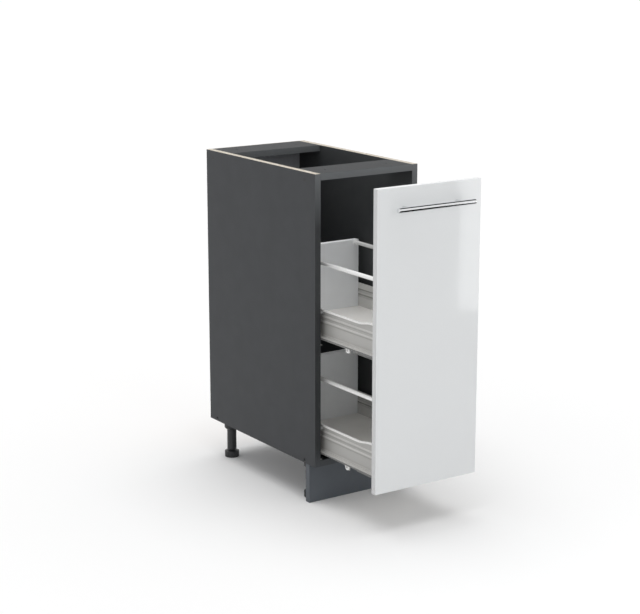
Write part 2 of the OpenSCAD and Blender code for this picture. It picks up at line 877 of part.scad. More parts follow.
// The rim's line from the wall's front end to its rear end, level at the back and raised in front
function rim_line(z) = concat(
    [[wall_front_y, z + rim_rise]],
    [for (i = [0 : rise_steps]) let (t = i / rise_steps)
        [front_back_y + rise_end + (rise_start - rise_end) * t,
         z + rim_rise * smooth_step(1 - t)]],
    [[wall_rear_y, z]]
);

function reversed(line) = [for (i = [len(line) - 1 : -1 : 0]) line[i]];

function lowered(line, dz) = [for (p = line) [p[0], p[1] - dz]];

// The sheet's outline: a flat web with rolled ribs, and the ledge that carries the base
module wall_section(z) {
    rib_x = wall_x + rib_depth - rib_r;
    difference() {
        union() {
            translate([wall_in_x, z]) square([sheet_t, wall_h - 2]);
            translate([wall_in_x - ledge_w, z]) square([ledge_w + sheet_t, sheet_t]);
            for (drop = rib_drops) intersection() {
                translate([rib_x, z + wall_h - drop]) circle(r = rib_r);
                translate([wall_in_x, z + wall_h - drop - rib_r])
                    square([sheet_t + rib_depth, 2 * rib_r]);
            }
        }
        for (drop = rib_drops)
            translate([rib_x, z + wall_h - drop]) circle(r = rib_r - sheet_t);
    }
}

module drawer_wall(level, side) {
    z = wall_low_z[level];
    line = rim_line(z + wall_h);
    web_top = [[wall_rear_y, z + wall_h - 3], [wall_front_y, z + wall_h - 3]];
    color(LIGHT_STEEL) from_front() on_side(side) difference() {
        union() {
            along_y(wall_front_y, wall_rear_y) wall_section(z);
            along_x(wall_in_x, wall_x) polygon(concat(line, web_top));
            along_x(wall_in_x, rim_x) polygon(concat(line, reversed(lowered(line, sheet_t))));
            along_x(rim_x - sheet_t, rim_x)
                polygon(concat(line, reversed(lowered(line, rim_lip))));
        }
        for (y = base_screw_y) translate([base_screw_x, y, z - 1])
            cylinder(h = sheet_t + 2, r = base_screw_r + joint_play);
        back_screw_places(level) rod_x(-3, 3, bracket_screw_r + joint_play);
    }
}

// The two screws that hold a back bracket to its wall
module back_screw_places(level) {
    for (dz = wall_screw_rises)
        translate([wall_in_x, back_board_rear_y + back_screw_inset,
                   wall_low_z[level] + bracket_low + dz])
            children();
}

// The two screws that hold a back bracket to the back board
module back_board_screw_places(level) {
    for (dz = board_screw_rises)
        translate([wall_in_x - bracket_screw_inset, 0, wall_low_z[level] + bracket_low + dz])
            children();
}

// A leg on the wall, a shelf over the rollers, a lip, and a hanger for the rear roller
module drawer_runners() {
    leg_out_x = wall_x + sheet_t;
    color(LIGHT_STEEL) from_front() both_sides() for (z = wall_low_z) {
        box([wall_x, wall_front_y, z + shelf_under],
            [leg_out_x, drawer_runner_rear_y, z + leg_high]);
        box([wall_x, wall_front_y, z + shelf_under],
            [lip_out_x, drawer_runner_rear_y, z + shelf_top]);
        box([lip_out_x - sheet_t, wall_front_y, z + lip_low],
            [lip_out_x, drawer_runner_rear_y, z + shelf_top]);
        along_x(wall_x, leg_out_x) polygon([
            [drawer_runner_rear_y, z + shelf_top], [drawer_runner_rear_y, z + hanger_low],
            [drawer_runner_rear_y - hanger_len + 8, z + hanger_low],
            [drawer_runner_rear_y - hanger_len, z + shelf_top]
        ]);
        translate([0, drawer_roller_y, z + under_roller_z])
            roller_pin(wall_x, inner_lane[1] + 0.1 + pin_flange_t);
    }
}

module drawer_base(level) {
    z = wall_low_z[level];
    color(BOARD_WHITE) from_front() difference() {
        box([-base_half, base_front_y, z + sheet_t],
            [base_half, back_board_rear_y, z + base_top]);
        both_sides() for (y = base_screw_y) translate([base_screw_x, y, z])
            cylinder(h = base_screw_grip + 0.5, r = base_screw_r + joint_play);
    }
}

module drawer_back(level) {
    z = wall_low_z[level];
    color(BOARD_WHITE) from_front() difference() {
        box([-base_half, back_board_front_y, z + base_top],
            [base_half, back_board_rear_y, z + back_board_h]);
        both_sides() {
            back_board_screw_places(level)
                rod_y(back_board_rear_y - bracket_screw_grip - 0.5, back_board_rear_y + 1,
                      bracket_screw_r + joint_play);
            railing_places()
                rod_y(back_board_front_y - 1, back_board_front_y + socket_screw_grip + 0.5,
                      socket_screw_r + joint_play);
        }
    }
}

module railing_places() {
    for (z = wall_low_z) translate([railing_x, 0, z + railing_h]) children();
}

module railings() {
    color(LIGHT_STEEL) from_front() both_sides() railing_places()
        rod_y(front_back_y + socket_floor, back_board_front_y - socket_floor, railing_r);
}

// Cups on the front panel and on the back board that take the ends of the rods
module railing_sockets() {
    bore_r = railing_r + joint_play;
    screw_r = socket_screw_r + joint_play;
    head_r = socket_screw_head_r + joint_play;
    color(LIGHT_STEEL) from_front() both_sides() railing_places() {
        difference() {
            rod_y(front_back_y, front_back_y + socket_len, socket_r);
            rod_y(front_back_y + socket_floor, front_back_y + socket_len + 1, bore_r);
            rod_y(front_back_y - 1, front_back_y + socket_floor + 1, screw_r);
            rod_y(front_back_y + socket_floor - socket_screw_head_t,
                  front_back_y + socket_floor + 1, head_r);
        }
        difference() {
            rod_y(back_board_front_y - socket_len, back_board_front_y, socket_r);
            rod_y(back_board_front_y - socket_len - 1, back_board_front_y - socket_floor, bore_r);
            rod_y(back_board_front_y - socket_floor - 1, back_board_front_y + 1, screw_r);
            rod_y(back_board_front_y - socket_floor - 1,
                  back_board_front_y - socket_floor + socket_screw_head_t, head_r);
        }
    }
}

// An angle on the front panel and the wall, and a foot rail that reaches under the base
module front_brackets() {
    plate_y = front_back_y + bracket_t;
    foot_end_r = foot_rail_w / 2;
    foot_x = wall_in_x - foot_rail_w;
    color(ZINC) from_front() both_sides() difference() {
        for (z = wall_low_z) union() {
            box([wall_in_x - bracket_w, front_back_y, z - foot_rail_h],
                [wall_in_x, plate_y, z + bracket_high]);
            box([wall_in_x - bracket_t, front_back_y, z + bracket_low],
                [wall_in_x, front_back_y + bracket_leg, z + bracket_high]);
            translate([0, 0, z - foot_rail_h]) linear_extrude(foot_rail_h - joint_play) union() {
                translate([foot_x, front_back_y])
                    square([foot_rail_w, foot_rail_len - foot_end_r]);
                translate([foot_x + foot_end_r, front_back_y + foot_rail_len - foot_end_r])
                    circle(r = foot_end_r);
            }
        }
        front_bracket_screw_places()
            rod_y(front_back_y - 1, front_back_y + 3, bracket_screw_r + joint_play);
    }
}

// An angle behind the back board, with its leg along the wall
module back_brackets() {
    color(ZINC) from_front() both_sides() for (level = [LOWER, UPPER])
        let (z = wall_low_z[level]) difference() {
            union() {
                box([wall_in_x - bracket_w, back_board_rear_y, z + bracket_low],
                    [wall_in_x, back_board_rear_y + bracket_t, z + bracket_high]);
                box([wall_in_x - bracket_t, back_board_rear_y, z + bracket_low],
                    [wall_in_x, back_board_rear_y + back_bracket_leg, z + bracket_high]);
            }
            back_screw_places(level) rod_x(-3, 3, bracket_screw_r + joint_play);
            back_board_screw_places(level)
                rod_y(back_board_rear_y - 1, back_board_rear_y + 3,
                      bracket_screw_r + joint_play);
        }
}

// Screws of the brackets, of the railing sockets and of the base boards
module drawer_screws() {
    front_floor_y = front_back_y + socket_floor;
    back_floor_y = back_board_front_y - socket_floor;
    color(ZINC) from_front() both_sides() {
        railing_places() {
            rod_y(front_floor_y - socket_screw_head_t, front_floor_y, socket_screw_head_r);
            rod_y(front_back_y - socket_screw_grip, front_floor_y, socket_screw_r);
            rod_y(back_floor_y, back_floor_y + socket_screw_head_t, socket_screw_head_r);
            rod_y(back_floor_y, back_board_front_y + socket_screw_grip, socket_screw_r);
        }
        front_bracket_screw_places() {
            rod_y(front_back_y + bracket_t, front_back_y + bracket_t + bracket_screw_head_t,
                  bracket_screw_head_r);
            rod_y(front_back_y - bracket_screw_grip, front_back_y + bracket_t, bracket_screw_r);
        }
        for (level = [LOWER, UPPER]) {
            back_screw_places(level) {
                rod_x(-bracket_t - bracket_screw_head_t, -bracket_t, bracket_screw_head_r);
                rod_x(-bracket_t, sheet_t, bracket_screw_r);
            }
            back_board_screw_places(level) {
                rod_y(back_board_rear_y + bracket_t,
                      back_board_rear_y + bracket_t + bracket_screw_head_t,
                      bracket_screw_head_r);
                rod_y(back_board_rear_y - bracket_screw_grip, back_board_rear_y + bracket_t,
                      bracket_screw_r);
            }
            for (y = base_screw_y) translate([base_screw_x, y, wall_low_z[level]]) {
                translate([0, 0, -base_screw_head_t])
                    cylinder(h = base_screw_head_t, r = base_screw_head_r);
                cylinder(h = base_screw_grip, r = base_screw_r);
            }
        }
    }
}

// ---------------------------------------------------------------- nodes

side_panel(LEFT);  // side_panel_left
side_panel(RIGHT);  // side_panel_right
bottom_panel();
rail_board(0);  // front_rail
rail_board(back_face_y - rail_w);  // rear_rail
back_panel();
rail_dowels();
rail_cams();
cam_bolts();
confirmat_screws();
linking_hole_caps();
back_panel_pins();
plinth();
plinth_clips();
plinth_clip_screws();
leg(LEFT, leg_front_y);  // leg_front_left
leg(RIGHT, leg_front_y);  // leg_front_right
leg(LEFT, leg_rear_y);  // leg_rear_left
leg(RIGHT, leg_rear_y);  // leg_rear_right
foot(LEFT, leg_front_y);  // foot_front_left
foot(RIGHT, leg_front_y);  // foot_front_right
foot(LEFT, leg_rear_y);  // foot_rear_left
foot(RIGHT, leg_rear_y);  // foot_rear_right
cabinet_runner(UPPER, LEFT);  // cabinet_runner_upper_left
cabinet_runner(UPPER, RIGHT);  // cabinet_runner_upper_right
cabinet_runner(LOWER, LEFT);  // cabinet_runner_lower_left
cabinet_runner(LOWER, RIGHT);  // cabinet_runner_lower_right
runner_screws();
guide_buttons();
middle_runner(UPPER, LEFT);  // middle_runner_upper_left
middle_runner(UPPER, RIGHT);  // middle_runner_upper_right
middle_runner(LOWER, LEFT);  // middle_runner_lower_left
middle_runner(LOWER, RIGHT);  // middle_runner_lower_right
cabinet_rollers(UPPER);  // cabinet_rollers_upper
cabinet_rollers(LOWER);  // cabinet_rollers_lower
middle_front_rollers(UPPER);  // middle_front_rollers_upper
middle_front_rollers(LOWER);  // middle_front_rollers_lower
middle_rear_rollers(UPPER);  // middle_rear_rollers_upper
middle_rear_rollers(LOWER);  // middle_rear_rollers_lower
drawer_rollers(UPPER);  // drawer_rollers_upper
drawer_rollers(LOWER);  // drawer_rollers_lower
front_panel();
handle_bar();
handle_posts();
handle_screws();
front_buffers();
drawer_wall(UPPER, LEFT);  // drawer_wall_upper_left
drawer_wall(UPPER, RIGHT);  // drawer_wall_upper_right
drawer_wall(LOWER, LEFT);  // drawer_wall_lower_left
drawer_wall(LOWER, RIGHT);  // drawer_wall_lower_right
drawer_runners();
drawer_base(UPPER);  // drawer_base_upper
drawer_base(LOWER);  // drawer_base_lower
drawer_back(UPPER);  // drawer_back_upper
drawer_back(LOWER);  // drawer_back_lower
railings();
railing_sockets();
front_brackets();
back_brackets();
drawer_screws();
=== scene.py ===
"""Pull out larder unit: the dressed model and its studio.

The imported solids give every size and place. Each class below takes one sub-assembly, gives
its pieces the edges, folds and fasteners that the solids leave plain, and puts a finish on
them. Lengths are metres in the row's frame: +Z up, -Y to the front, origin on the floor.
"""

import logging
import math
from collections.abc import Callable, Iterable
from dataclasses import dataclass
from enum import Enum
from typing import Any

import bmesh
import bpy
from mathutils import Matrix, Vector


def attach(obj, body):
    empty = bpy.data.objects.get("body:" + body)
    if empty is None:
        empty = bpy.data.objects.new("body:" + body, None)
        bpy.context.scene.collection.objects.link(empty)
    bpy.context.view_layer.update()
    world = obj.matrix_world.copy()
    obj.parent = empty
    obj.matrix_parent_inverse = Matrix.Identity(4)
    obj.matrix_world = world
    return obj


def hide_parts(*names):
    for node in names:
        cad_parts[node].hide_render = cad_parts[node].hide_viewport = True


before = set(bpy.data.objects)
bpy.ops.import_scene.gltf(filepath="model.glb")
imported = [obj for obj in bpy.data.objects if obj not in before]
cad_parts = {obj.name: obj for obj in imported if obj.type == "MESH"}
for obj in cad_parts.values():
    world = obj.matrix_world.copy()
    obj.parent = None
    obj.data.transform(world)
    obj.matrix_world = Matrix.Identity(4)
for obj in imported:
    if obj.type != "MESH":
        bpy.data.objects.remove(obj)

Tree = bpy.types.NodeTree
Node = bpy.types.Node
Socket = bpy.types.NodeSocket
Mesh = bpy.types.Mesh
Piece = bpy.types.Object
Material = bpy.types.Material
FaceTest = Callable[[bpy.types.MeshPolygon], bool]
Triple = tuple[float, float, float]
Value = Socket | float

LOG = logging.getLogger("larder")
MM = 0.001
MERGE = 0.001 * MM
WHITE = (1.0, 1.0, 1.0, 1.0)
# The largest turn between faces that still counts as a curve, in degrees.
BOARD_TURN, THREAD_TURN = 32.0, 35.0
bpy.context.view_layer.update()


# ---------------------------- small helpers


def rgba(code: str) -> tuple[float, float, float, float]:
    """Turn an sRGB hex colour into the linear values that a socket takes.

    Args:
        code: The colour, such as "#45474a".

    Returns:
        Linear red, green, blue and an alpha of 1.
    """
    parts = [int(code[i : i + 2], 16) / 255 for i in (1, 3, 5)]
    linear = [p / 12.92 if p <= 0.04045 else ((p + 0.055) / 1.055) ** 2.4 for p in parts]
    return (linear[0], linear[1], linear[2], 1.0)


def add_node(
    tree: Tree,
    kind: str,
    settings: dict[str, Any] | None = None,
    inputs: dict[str | int, Any] | None = None,
) -> Node:
    """Add a node, set its properties and feed its inputs.

    Args:
        tree: The node tree that gets the node.
        kind: The node's type name.
        settings: Values for the node's own properties.
        inputs: For each input, by name or number, a value or the socket to link.

    Returns:
        The new node.
    """
    node = tree.nodes.new(kind)
    for name, value in (settings or {}).items():
        setattr(node, name, value)
    for key, value in (inputs or {}).items():
        if isinstance(value, Socket):
            tree.links.new(value, node.inputs[key])
        else:
            node.inputs[key].default_value = value
    return node


def empty_tree(owner: Material | bpy.types.World) -> Tree:
    """Clear the node tree of a new material or world.

    Args:
        owner: The material or world.

    Returns:
        The empty tree.
    """
    owner.use_nodes = True
    owner.node_tree.nodes.clear()
    return owner.node_tree


def smooth_by_angle(mesh: Mesh, degrees: float = BOARD_TURN) -> None:
    """Shade a mesh smooth, but keep its edges sharp where the faces turn further.

    Args:
        mesh: The mesh to shade.
        degrees: The largest turn that still counts as a curve.
    """
    shape = bmesh.new()
    shape.from_mesh(mesh)
    limit = math.radians(degrees)
    for face in shape.faces:
        face.smooth = True
    for edge in shape.edges:
        edge.smooth = edge.is_manifold and edge.calc_face_angle(0.0) < limit
    shape.to_mesh(mesh)
    shape.free()


def new_object(name: str, shape: bmesh.types.BMesh) -> Piece:
    """Put a shape into the scene as an object at the origin.

    Args:
        name: The object's name.
        shape: The shape, with its place already in its points. It is used up.

    Returns:
        The new object.
    """
    mesh = bpy.data.meshes.new(name)
    shape.to_mesh(mesh)
    shape.free()
    piece = bpy.data.objects.new(name, mesh)
    bpy.context.scene.collection.objects.link(piece)
    return piece


def bake(piece: Piece) -> None:
    """Turn an object's modifiers into plain mesh and remove them.

    Args:
        piece: The object with its live modifiers.
    """
    depsgraph = bpy.context.evaluated_depsgraph_get()
    mesh = bpy.data.meshes.new_from_object(
        piece.evaluated_get(depsgraph), preserve_all_data_layers=True, depsgraph=depsgraph
    )
    mesh.name = piece.name
    piece.modifiers.clear()
    old = piece.data
    piece.data = mesh
    if old.users == 0:
        bpy.data.meshes.remove(old)


# ---------------------------- finishes


@dataclass(frozen=True)
class Pattern:
    """Noise of a real size on a surface, and what follows it there.

    Up to the factor tones the surface has its colour, and its light tone from as far below 1.
    Gloss says how much less and how much more rough it gets where the noise is low and high.
    """

    size_mm: float
    detail: float = 2.0
    stretch: Triple | None = None
    tones: float | None = None
    gloss: tuple[float, float] | None = None
    depth_mm: float = 0.0
    strength: float = 0.0


Patterns = tuple[Pattern, ...]
# Noise keeps within this span nearly everywhere.
NOISE_LOW, NOISE_HIGH = 0.3, 0.7


@dataclass(frozen=True)
class Canvas:
    """A material under construction. Its coordinates are the object's own, in metres."""

    tree: Tree
    shader: Node
    place: Socket

    def noise(self, pattern: Pattern) -> Socket:
        """Add a pattern's noise.

        Args:
            pattern: The pattern.

        Returns:
            The noise's value, around 0.5.
        """
        place = self.place
        if pattern.stretch is not None:
            run = {"Vector": place, "Scale": pattern.stretch}
            place = add_node(self.tree, "ShaderNodeMapping", inputs=run).outputs["Vector"]
        inputs = {"Vector": place, "Scale": 1 / (pattern.size_mm * MM), "Detail": pattern.detail}
        return add_node(self.tree, "ShaderNodeTexNoise", inputs=inputs).outputs["Fac"]

    def tint(self, factor: Socket, *stops: tuple[float, str]) -> None:
        """Colour the shader from a factor through a ramp.

        Args:
            factor: The value that drives the ramp.
            *stops: Each place on the ramp with its colour.
        """
        ramp = add_node(self.tree, "ShaderNodeValToRGB", inputs={"Fac": factor})
        elements = ramp.color_ramp.elements
        while len(elements) < len(stops):
            elements.new(1.0)
        for element, (position, code) in zip(elements, stops):
            element.position = position
            element.color = rgba(code)
        self.tree.links.new(ramp.outputs["Color"], self.shader.inputs["Base Color"])

    def emboss(self, height: Socket, depth_mm: float, strength: float) -> None:
        """Add a bump of a real depth.

        Args:
            height: The height, from 0 to 1.
            depth_mm: How deep a height of 1 is.
            strength: How much of the bump shows.
        """
        inputs = {"Strength": strength, "Distance": depth_mm * MM, "Height": height}
        bump = add_node(self.tree, "ShaderNodeBump", inputs=inputs)
        self.tree.links.new(bump.outputs["Normal"], self.shader.inputs["Normal"])


@dataclass(frozen=True)
class Finish:
    """A surface finish: the start of every material here. Light is its palest tone."""

    name: str
    slot: str
    colour: str
    roughness: float = 0.5
    metallic: float = 0.0
    specular: float = 0.5
    light: str = "#ffffff"
    coat: float = 0.0
    patterns: Patterns = ()

    def material(self) -> Material:
        """Give this finish's material, made on first use.

        Returns:
            The material.
        """
        found = bpy.data.materials.get(self.name)
        if found is not None:
            return found
        material = bpy.data.materials.new(self.name)
        tree = empty_tree(material)
        inputs = {"Base Color": rgba(self.colour), "Roughness": self.roughness}
        inputs |= {"Metallic": self.metallic, "Specular IOR Level": self.specular}
        inputs |= {"Coat Weight": self.coat}
        shader = add_node(tree, "ShaderNodeBsdfPrincipled", inputs=inputs)
        add_node(tree, "ShaderNodeOutputMaterial", inputs={"Surface": shader.outputs[0]})
        place = add_node(tree, "ShaderNodeTexCoord").outputs["Object"]
        self.texture(Canvas(tree, shader, place))
        return material

    def texture(self, on: Canvas) -> None:
        """Draw the patterns, which make the surface more than one colour.

        Args:
            on: The material under construction.
        """
        for pattern in self.patterns:
            noise = on.noise(pattern)
            if pattern.tones is not None:
                on.tint(noise, (pattern.tones, self.colour), (1.0 - pattern.tones, self.light))
            if pattern.gloss is not None:
                less, more = pattern.gloss
                span = {"Value": noise, "From Min": NOISE_LOW, "From Max": NOISE_HIGH}
                span |= {"To Min": self.roughness - less, "To Max": self.roughness + more}
                rough = add_node(on.tree, "ShaderNodeMapRange", inputs=span).outputs["Result"]
                on.tree.links.new(rough, on.shader.inputs["Roughness"])
            if pattern.depth_mm > 0.0:
                on.emboss(noise, pattern.depth_mm, pattern.strength)


@dataclass(frozen=True)
class MelamineFace(Finish):
    """Decor paper pressed on chipboard: satin, with a fine pearl grain that softens lights."""

    patterns: Patterns = (
        Pattern(45.0, 3.0, tones=NOISE_LOW),
        Pattern(1.2, gloss=(0.05, 0.07), depth_mm=0.03, strength=0.35),
    )


@dataclass(frozen=True)
class EdgeBand(Finish):
    """Plastic edging on the front edges: satin, with painted light that grades it paler towards
    both ends.
    """

    # The painted light: low is the tone at the lower end and light the tone at the upper end;
    # heights_mm gives the heights of low, of the plain colour twice and of light.
    low: str = "#ffffff"
    heights_mm: tuple[float, float, float, float] = (105.0, 150.0, 690.0, 825.0)
    patterns: Patterns = (Pattern(0.8, gloss=(0.04, 0.05), depth_mm=0.02, strength=0.3),)

    def texture(self, on: Canvas) -> None:
        """Paint light by grading the tone with the height, and draw the grain.

        Args:
            on: The material under construction.
        """
        height = add_node(on.tree, "ShaderNodeSeparateXYZ", inputs={"Vector": on.place})
        start, end = self.heights_mm[0], self.heights_mm[-1]
        span = {"Value": height.outputs["Z"], "From Min": start * MM, "From Max": end * MM}
        grade = add_node(on.tree, "ShaderNodeMapRange", inputs=span).outputs["Result"]
        tones = (self.low, self.colour, self.colour, self.light)
        on.tint(grade, *(((h - start) / (end - start), t) for h, t in zip(self.heights_mm, tones)))
        super().texture(on)


@dataclass(frozen=True)
class ChipboardEdge(Finish):
    """Sawn chipboard: pressed chips in pale wood tones, with open pores between them."""

    dark: str = "#b3a48c"
    chip_mm: float = 2.2

    def texture(self, on: Canvas) -> None:
        """Draw the chips and their pores.

        Args:
            on: The material under construction.
        """
        inputs = {"Vector": on.place, "Scale": 1 / (self.chip_mm * MM), "Randomness": 1.0}
        chips = add_node(on.tree, "ShaderNodeTexVoronoi", inputs=inputs)
        colour = {"Color": chips.outputs["Color"]}
        tone = add_node(on.tree, "ShaderNodeSeparateColor", inputs=colour).outputs[0]
        on.tint(tone, (0.0, self.dark), (0.35, self.colour), (1.0, self.light))
        on.emboss(chips.outputs["Distance"], depth_mm=0.15, strength=0.5)


@dataclass(frozen=True)
class GlossFace(Finish):
    """High gloss film on fibreboard: white and mirror smooth, with the press's faint waves."""

    coat: float = 0.6
    patterns: Patterns = (Pattern(60.0, 1.0, gloss=(0.0, 0.03), depth_mm=0.02, strength=0.15),)


@dataclass(frozen=True)
class Hardboard(Finish):
    """Thin pressed fibre board, with fibres a few millimetres long that run upwards."""

    patterns: Patterns = (
        Pattern(4.0, 6.0, (1.0, 1.0, 0.3), NOISE_LOW, depth_mm=0.06, strength=0.4),
    )


@dataclass(frozen=True)
class PowderCoat(Finish):
    """Baked powder on sheet steel: satin, with the soft orange peel that powder leaves."""

    patterns: Patterns = (
        Pattern(2.0, 1.5, gloss=(0.04, 0.06), depth_mm=0.03, strength=0.3),
        Pattern(80.0, tones=NOISE_LOW),
    )


@dataclass(frozen=True)
class ZincPlate(Finish):
    """Zinc on steel: grey metal with soft clouds of tone and gloss from the bath."""

    light: str = "#d3d5d8"
    patterns: Patterns = (Pattern(5.0, 4.0, tones=0.25, gloss=(0.08, 0.1)),)


@dataclass(frozen=True)
class PolishedSteel(Finish):
    """Steel tube polished along its length: bright, with hairlines round the light's edge.

    The hairlines run along X and are 0.4 mm apart, coarser than real, so that they show.
    """

    patterns: Patterns = (
        Pattern(0.4, 3.0, (0.02, 1.0, 1.0), gloss=(0.04, 0.08), depth_mm=0.01, strength=0.1),
    )


@dataclass(frozen=True)
class MouldedPlastic(Finish):
    """Moulded plastic: an even colour with the mould's spark-eroded grain."""

    patterns: Patterns = (
        Pattern(0.8, gloss=(0.05, 0.08), depth_mm=0.03, strength=0.4),
        Pattern(20.0, tones=NOISE_LOW),
    )


@dataclass(frozen=True)
class Nylon(Finish):
    """Nylon from a smoother mould: a finer and much shallower grain, and a waxy sheen."""

    patterns: Patterns = (
        Pattern(0.6, gloss=(0.05, 0.08), depth_mm=0.01, strength=0.4),
        Pattern(20.0, tones=NOISE_LOW),
    )


@dataclass(frozen=True)
class BeechWood(Finish):
    """Turned beech: pale, with short darker flecks along the grain, which runs along X."""

    patterns: Patterns = (
        Pattern(1.0, 3.0, (0.15, 1.0, 1.0), 0.35, depth_mm=0.05, strength=0.3),
    )


BOARD = "anthracite_board"
GLOSSY = "white_gloss_board"
PALE = "light_grey_board"
SHEET = "grey_coated_steel"
PLATED = "zinc_plated_steel"

# Dark decor on the boards: it takes the light softly and shows no gloss from the front.
ANTHRACITE = MelamineFace("anthracite_melamine", BOARD, "#333538", specular=0.3, light="#37393c")
# Painted light: a paler copy of the decor on the inner faces of the sides, standing in for the
# light that the white drawers throw there.
ANTHRACITE_PAINTED_INNER_LIGHT = MelamineFace(
    "anthracite_melamine_inside", BOARD, "#424446", specular=0.3, light="#464849"
)
# Painted shade: a darker, less glossy copy of the decor on the faces of the rails and the bottom
# that look up, which takes down the overhead light there.
ANTHRACITE_PAINTED_TOP_SHADE = MelamineFace(
    "anthracite_melamine_rails", BOARD, "#2c2e30", specular=0.15, light="#303234"
)
# Edging of the front edges: darker than the decor and glossier, with painted light that makes it
# paler at both ends.
ANTHRACITE_EDGE_PAINTED_LIGHT = EdgeBand(
    "anthracite_edging", BOARD, "#2f3133", 0.42, specular=0.4, light="#626567", low="#44474a"
)
# Unedged top edges: a thin warm line of chips between the dark faces.
RAW_EDGE = ChipboardEdge("sawn_chipboard", BOARD, "#c2bbaf", 0.85, light="#e6e0d4")
# Film on the plinth: a little bluer and paler than the decor of the boards.
PLINTH_FACE = MelamineFace(
    "anthracite_plinth_film", BOARD, "#575c62", 0.46, specular=0.3, light="#5b6066"
)
# Edging on the left and right sides of the front: less glossy than its face, and a greyer copy of
# its white, which is painted shade on these sides.
WHITE_EDGE_PAINTED_SHADE = GlossFace("white_gloss_edging", GLOSSY, "#cbcccd", 0.2)
# Film of the front: white, and the side soft box stands in it as a band.
WHITE_GLOSS = GlossFace("white_gloss_film", GLOSSY, "#eef0f1", 0.08)
# Back boards of the drawers: cool white, satin.
PALE_MELAMINE = MelamineFace("light_grey_melamine", PALE, "#f1f3f5", 0.45, light="#f5f7f9")
# Bases of the drawers: warmer than the back boards.
WHITE_MELAMINE = MelamineFace("white_melamine", PALE, "#f7f5f1", 0.45, light="#fbf9f5")
# Inside of the back: printed grey, to go with the decor.
GREY_BACK = Hardboard("printed_hardboard", "hardboard", "#8e9095", 0.6, light="#94969b")
# Outside of the back: bare brown fibre.
BROWN_BACK = Hardboard("raw_hardboard", "hardboard", "#7b5a3c", 0.8, light="#8d6b4a")
# Powder coat of walls and runners, on the plain outer faces: a warm mid grey.
DRAWER_COAT = PowderCoat("light_grey_powder_coat", SHEET, "#b0afac", 0.34, light="#b4b3b0")
# Painted light: a paler copy of the coat on faces that slope up and on the runners' tops and sides,
# standing in for the overhead light there.
DRAWER_COAT_PAINTED_LIGHT = PowderCoat(
    "light_grey_powder_coat_ridges", SHEET, "#c6c5c2", 0.3, light="#cac9c6"
)
# Painted highlight: a nearly white copy of the coat on the rolled rim, a bright line along the
# wall.
RIM_PAINTED_HIGHLIGHT = PowderCoat("light_grey_powder_coat_rim", SHEET, "#ebeae8", 0.28, light="#efeeec")
# Painted shade: a dark grey copy of the coat on the lips below the walls and on the brackets under
# them, a dark line.
LIP_PAINTED_SHADE = PowderCoat("grey_runner_lip", SHEET, "#6c6c6b", 0.4, light="#70706f")
# Painted light: a pale copy of the coat on the inner faces of the walls, like the base beside them,
# standing in for the light inside the drawer.
DRAWER_COAT_PAINTED_INNER_LIGHT = PowderCoat(
    "light_grey_powder_coat_inside", SHEET, "#d8d7d4", 0.36, light="#dcdbd8"
)
# Painted shade: a darker copy of the coat on the faces that look down under the folds, the dark
# lines between the ribs.
DRAWER_COAT_PAINTED_SHADE = PowderCoat(
    "light_grey_powder_coat_folds", SHEET, "#9b9995", 0.4, light="#a09e9a"
)
# Railing rods: bright white grey with a soft highlight along the rod.
RAIL_COAT = PowderCoat("white_grey_powder_coat", SHEET, "#f2f2f1", 0.22, light="#f6f6f5")
# Screws, pins and brackets: pale metal with cloudy gloss.
ZINC = ZincPlate("bright_zinc_plating", PLATED, "#aeb1b5", 0.34, 1.0)
# Cams: duller than plated steel, with the casting's dark skin.
CAST_ZINC = ZincPlate("cast_zinc_alloy", PLATED, "#8f9296", 0.45, 1.0, light="#a2a5a8")
# Confirmat screws: blacked, a dark that is painted shade for their holes, so that their heads are
# dark discs in the panels.
BLACKED_STEEL_PAINTED_SHADE = ZincPlate("blacked_steel", PLATED, "#2c2d2f", 0.5, 0.6, light="#37383a")
# Handle: mirror bright, white with dark lines where the flags stand in it.
HANDLE_STEEL = PolishedSteel("polished_steel", "polished_steel", "#dcdee0", 0.12, 1.0)
# Rollers and buffers: waxy white.
NYLON = Nylon("white_nylon", "white_nylon", "#ececea", 0.4, light="#f1f1ef")
# Painted shade: the guide buttons in a mid grey copy of the white nylon, standing in for the shade
# they sit in.
NYLON_PAINTED_SHADE = Nylon("grey_nylon", "white_nylon", "#8b8c8c", 0.4, light="#909191")
# Legs, feet and clips: black with a dull sheen.
BLACK_PP = MouldedPlastic("black_polypropylene", "black_plastic", "#262729", 0.45, light="#2b2c2e")
# Caps of the linking holes: darker than the decor round them.
CAP_PLASTIC = MouldedPlastic(
    "anthracite_cap_plastic", "anthracite_plastic", "#1d1e1f", light="#212223"
)
# Dowels: pale wood.
BEECH = BeechWood("turned_beech", "beech", "#caa87c", 0.7, light="#e2c9a6")

# A further finish of a piece, with the test that says which faces it takes.
Accent = tuple[Finish, FaceTest]


# ---------------------------- pieces


class Facing(Enum):
    """Which way a face looks, for pieces with more than one finish."""

    UP = Vector((0, 0, 1))
    FRONT = Vector((0, -1, 0))
    BACK = Vector((0, 1, 0))
    RIGHT = Vector((1, 0, 0))
    LEFT = Vector((-1, 0, 0))


@dataclass(frozen=True)
class EdgeBreak:
    """How far an edge is rounded, and which edges are long enough to be rounded."""

    width: float = 0.4 * MM
    segments: int = 2
    shortest: float = 3 * MM
    sharper_than: float = 40.0


def merged(node: str) -> bmesh.types.BMesh:
    """Copy a solid's shape, with its loose triangles joined up.

    Args:
        node: The CAD node.

    Returns:
        The copy.
    """
    shape = bmesh.new()
    shape.from_mesh(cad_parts[node].data)
    bmesh.ops.remove_doubles(shape, verts=shape.verts, dist=MERGE)
    return shape


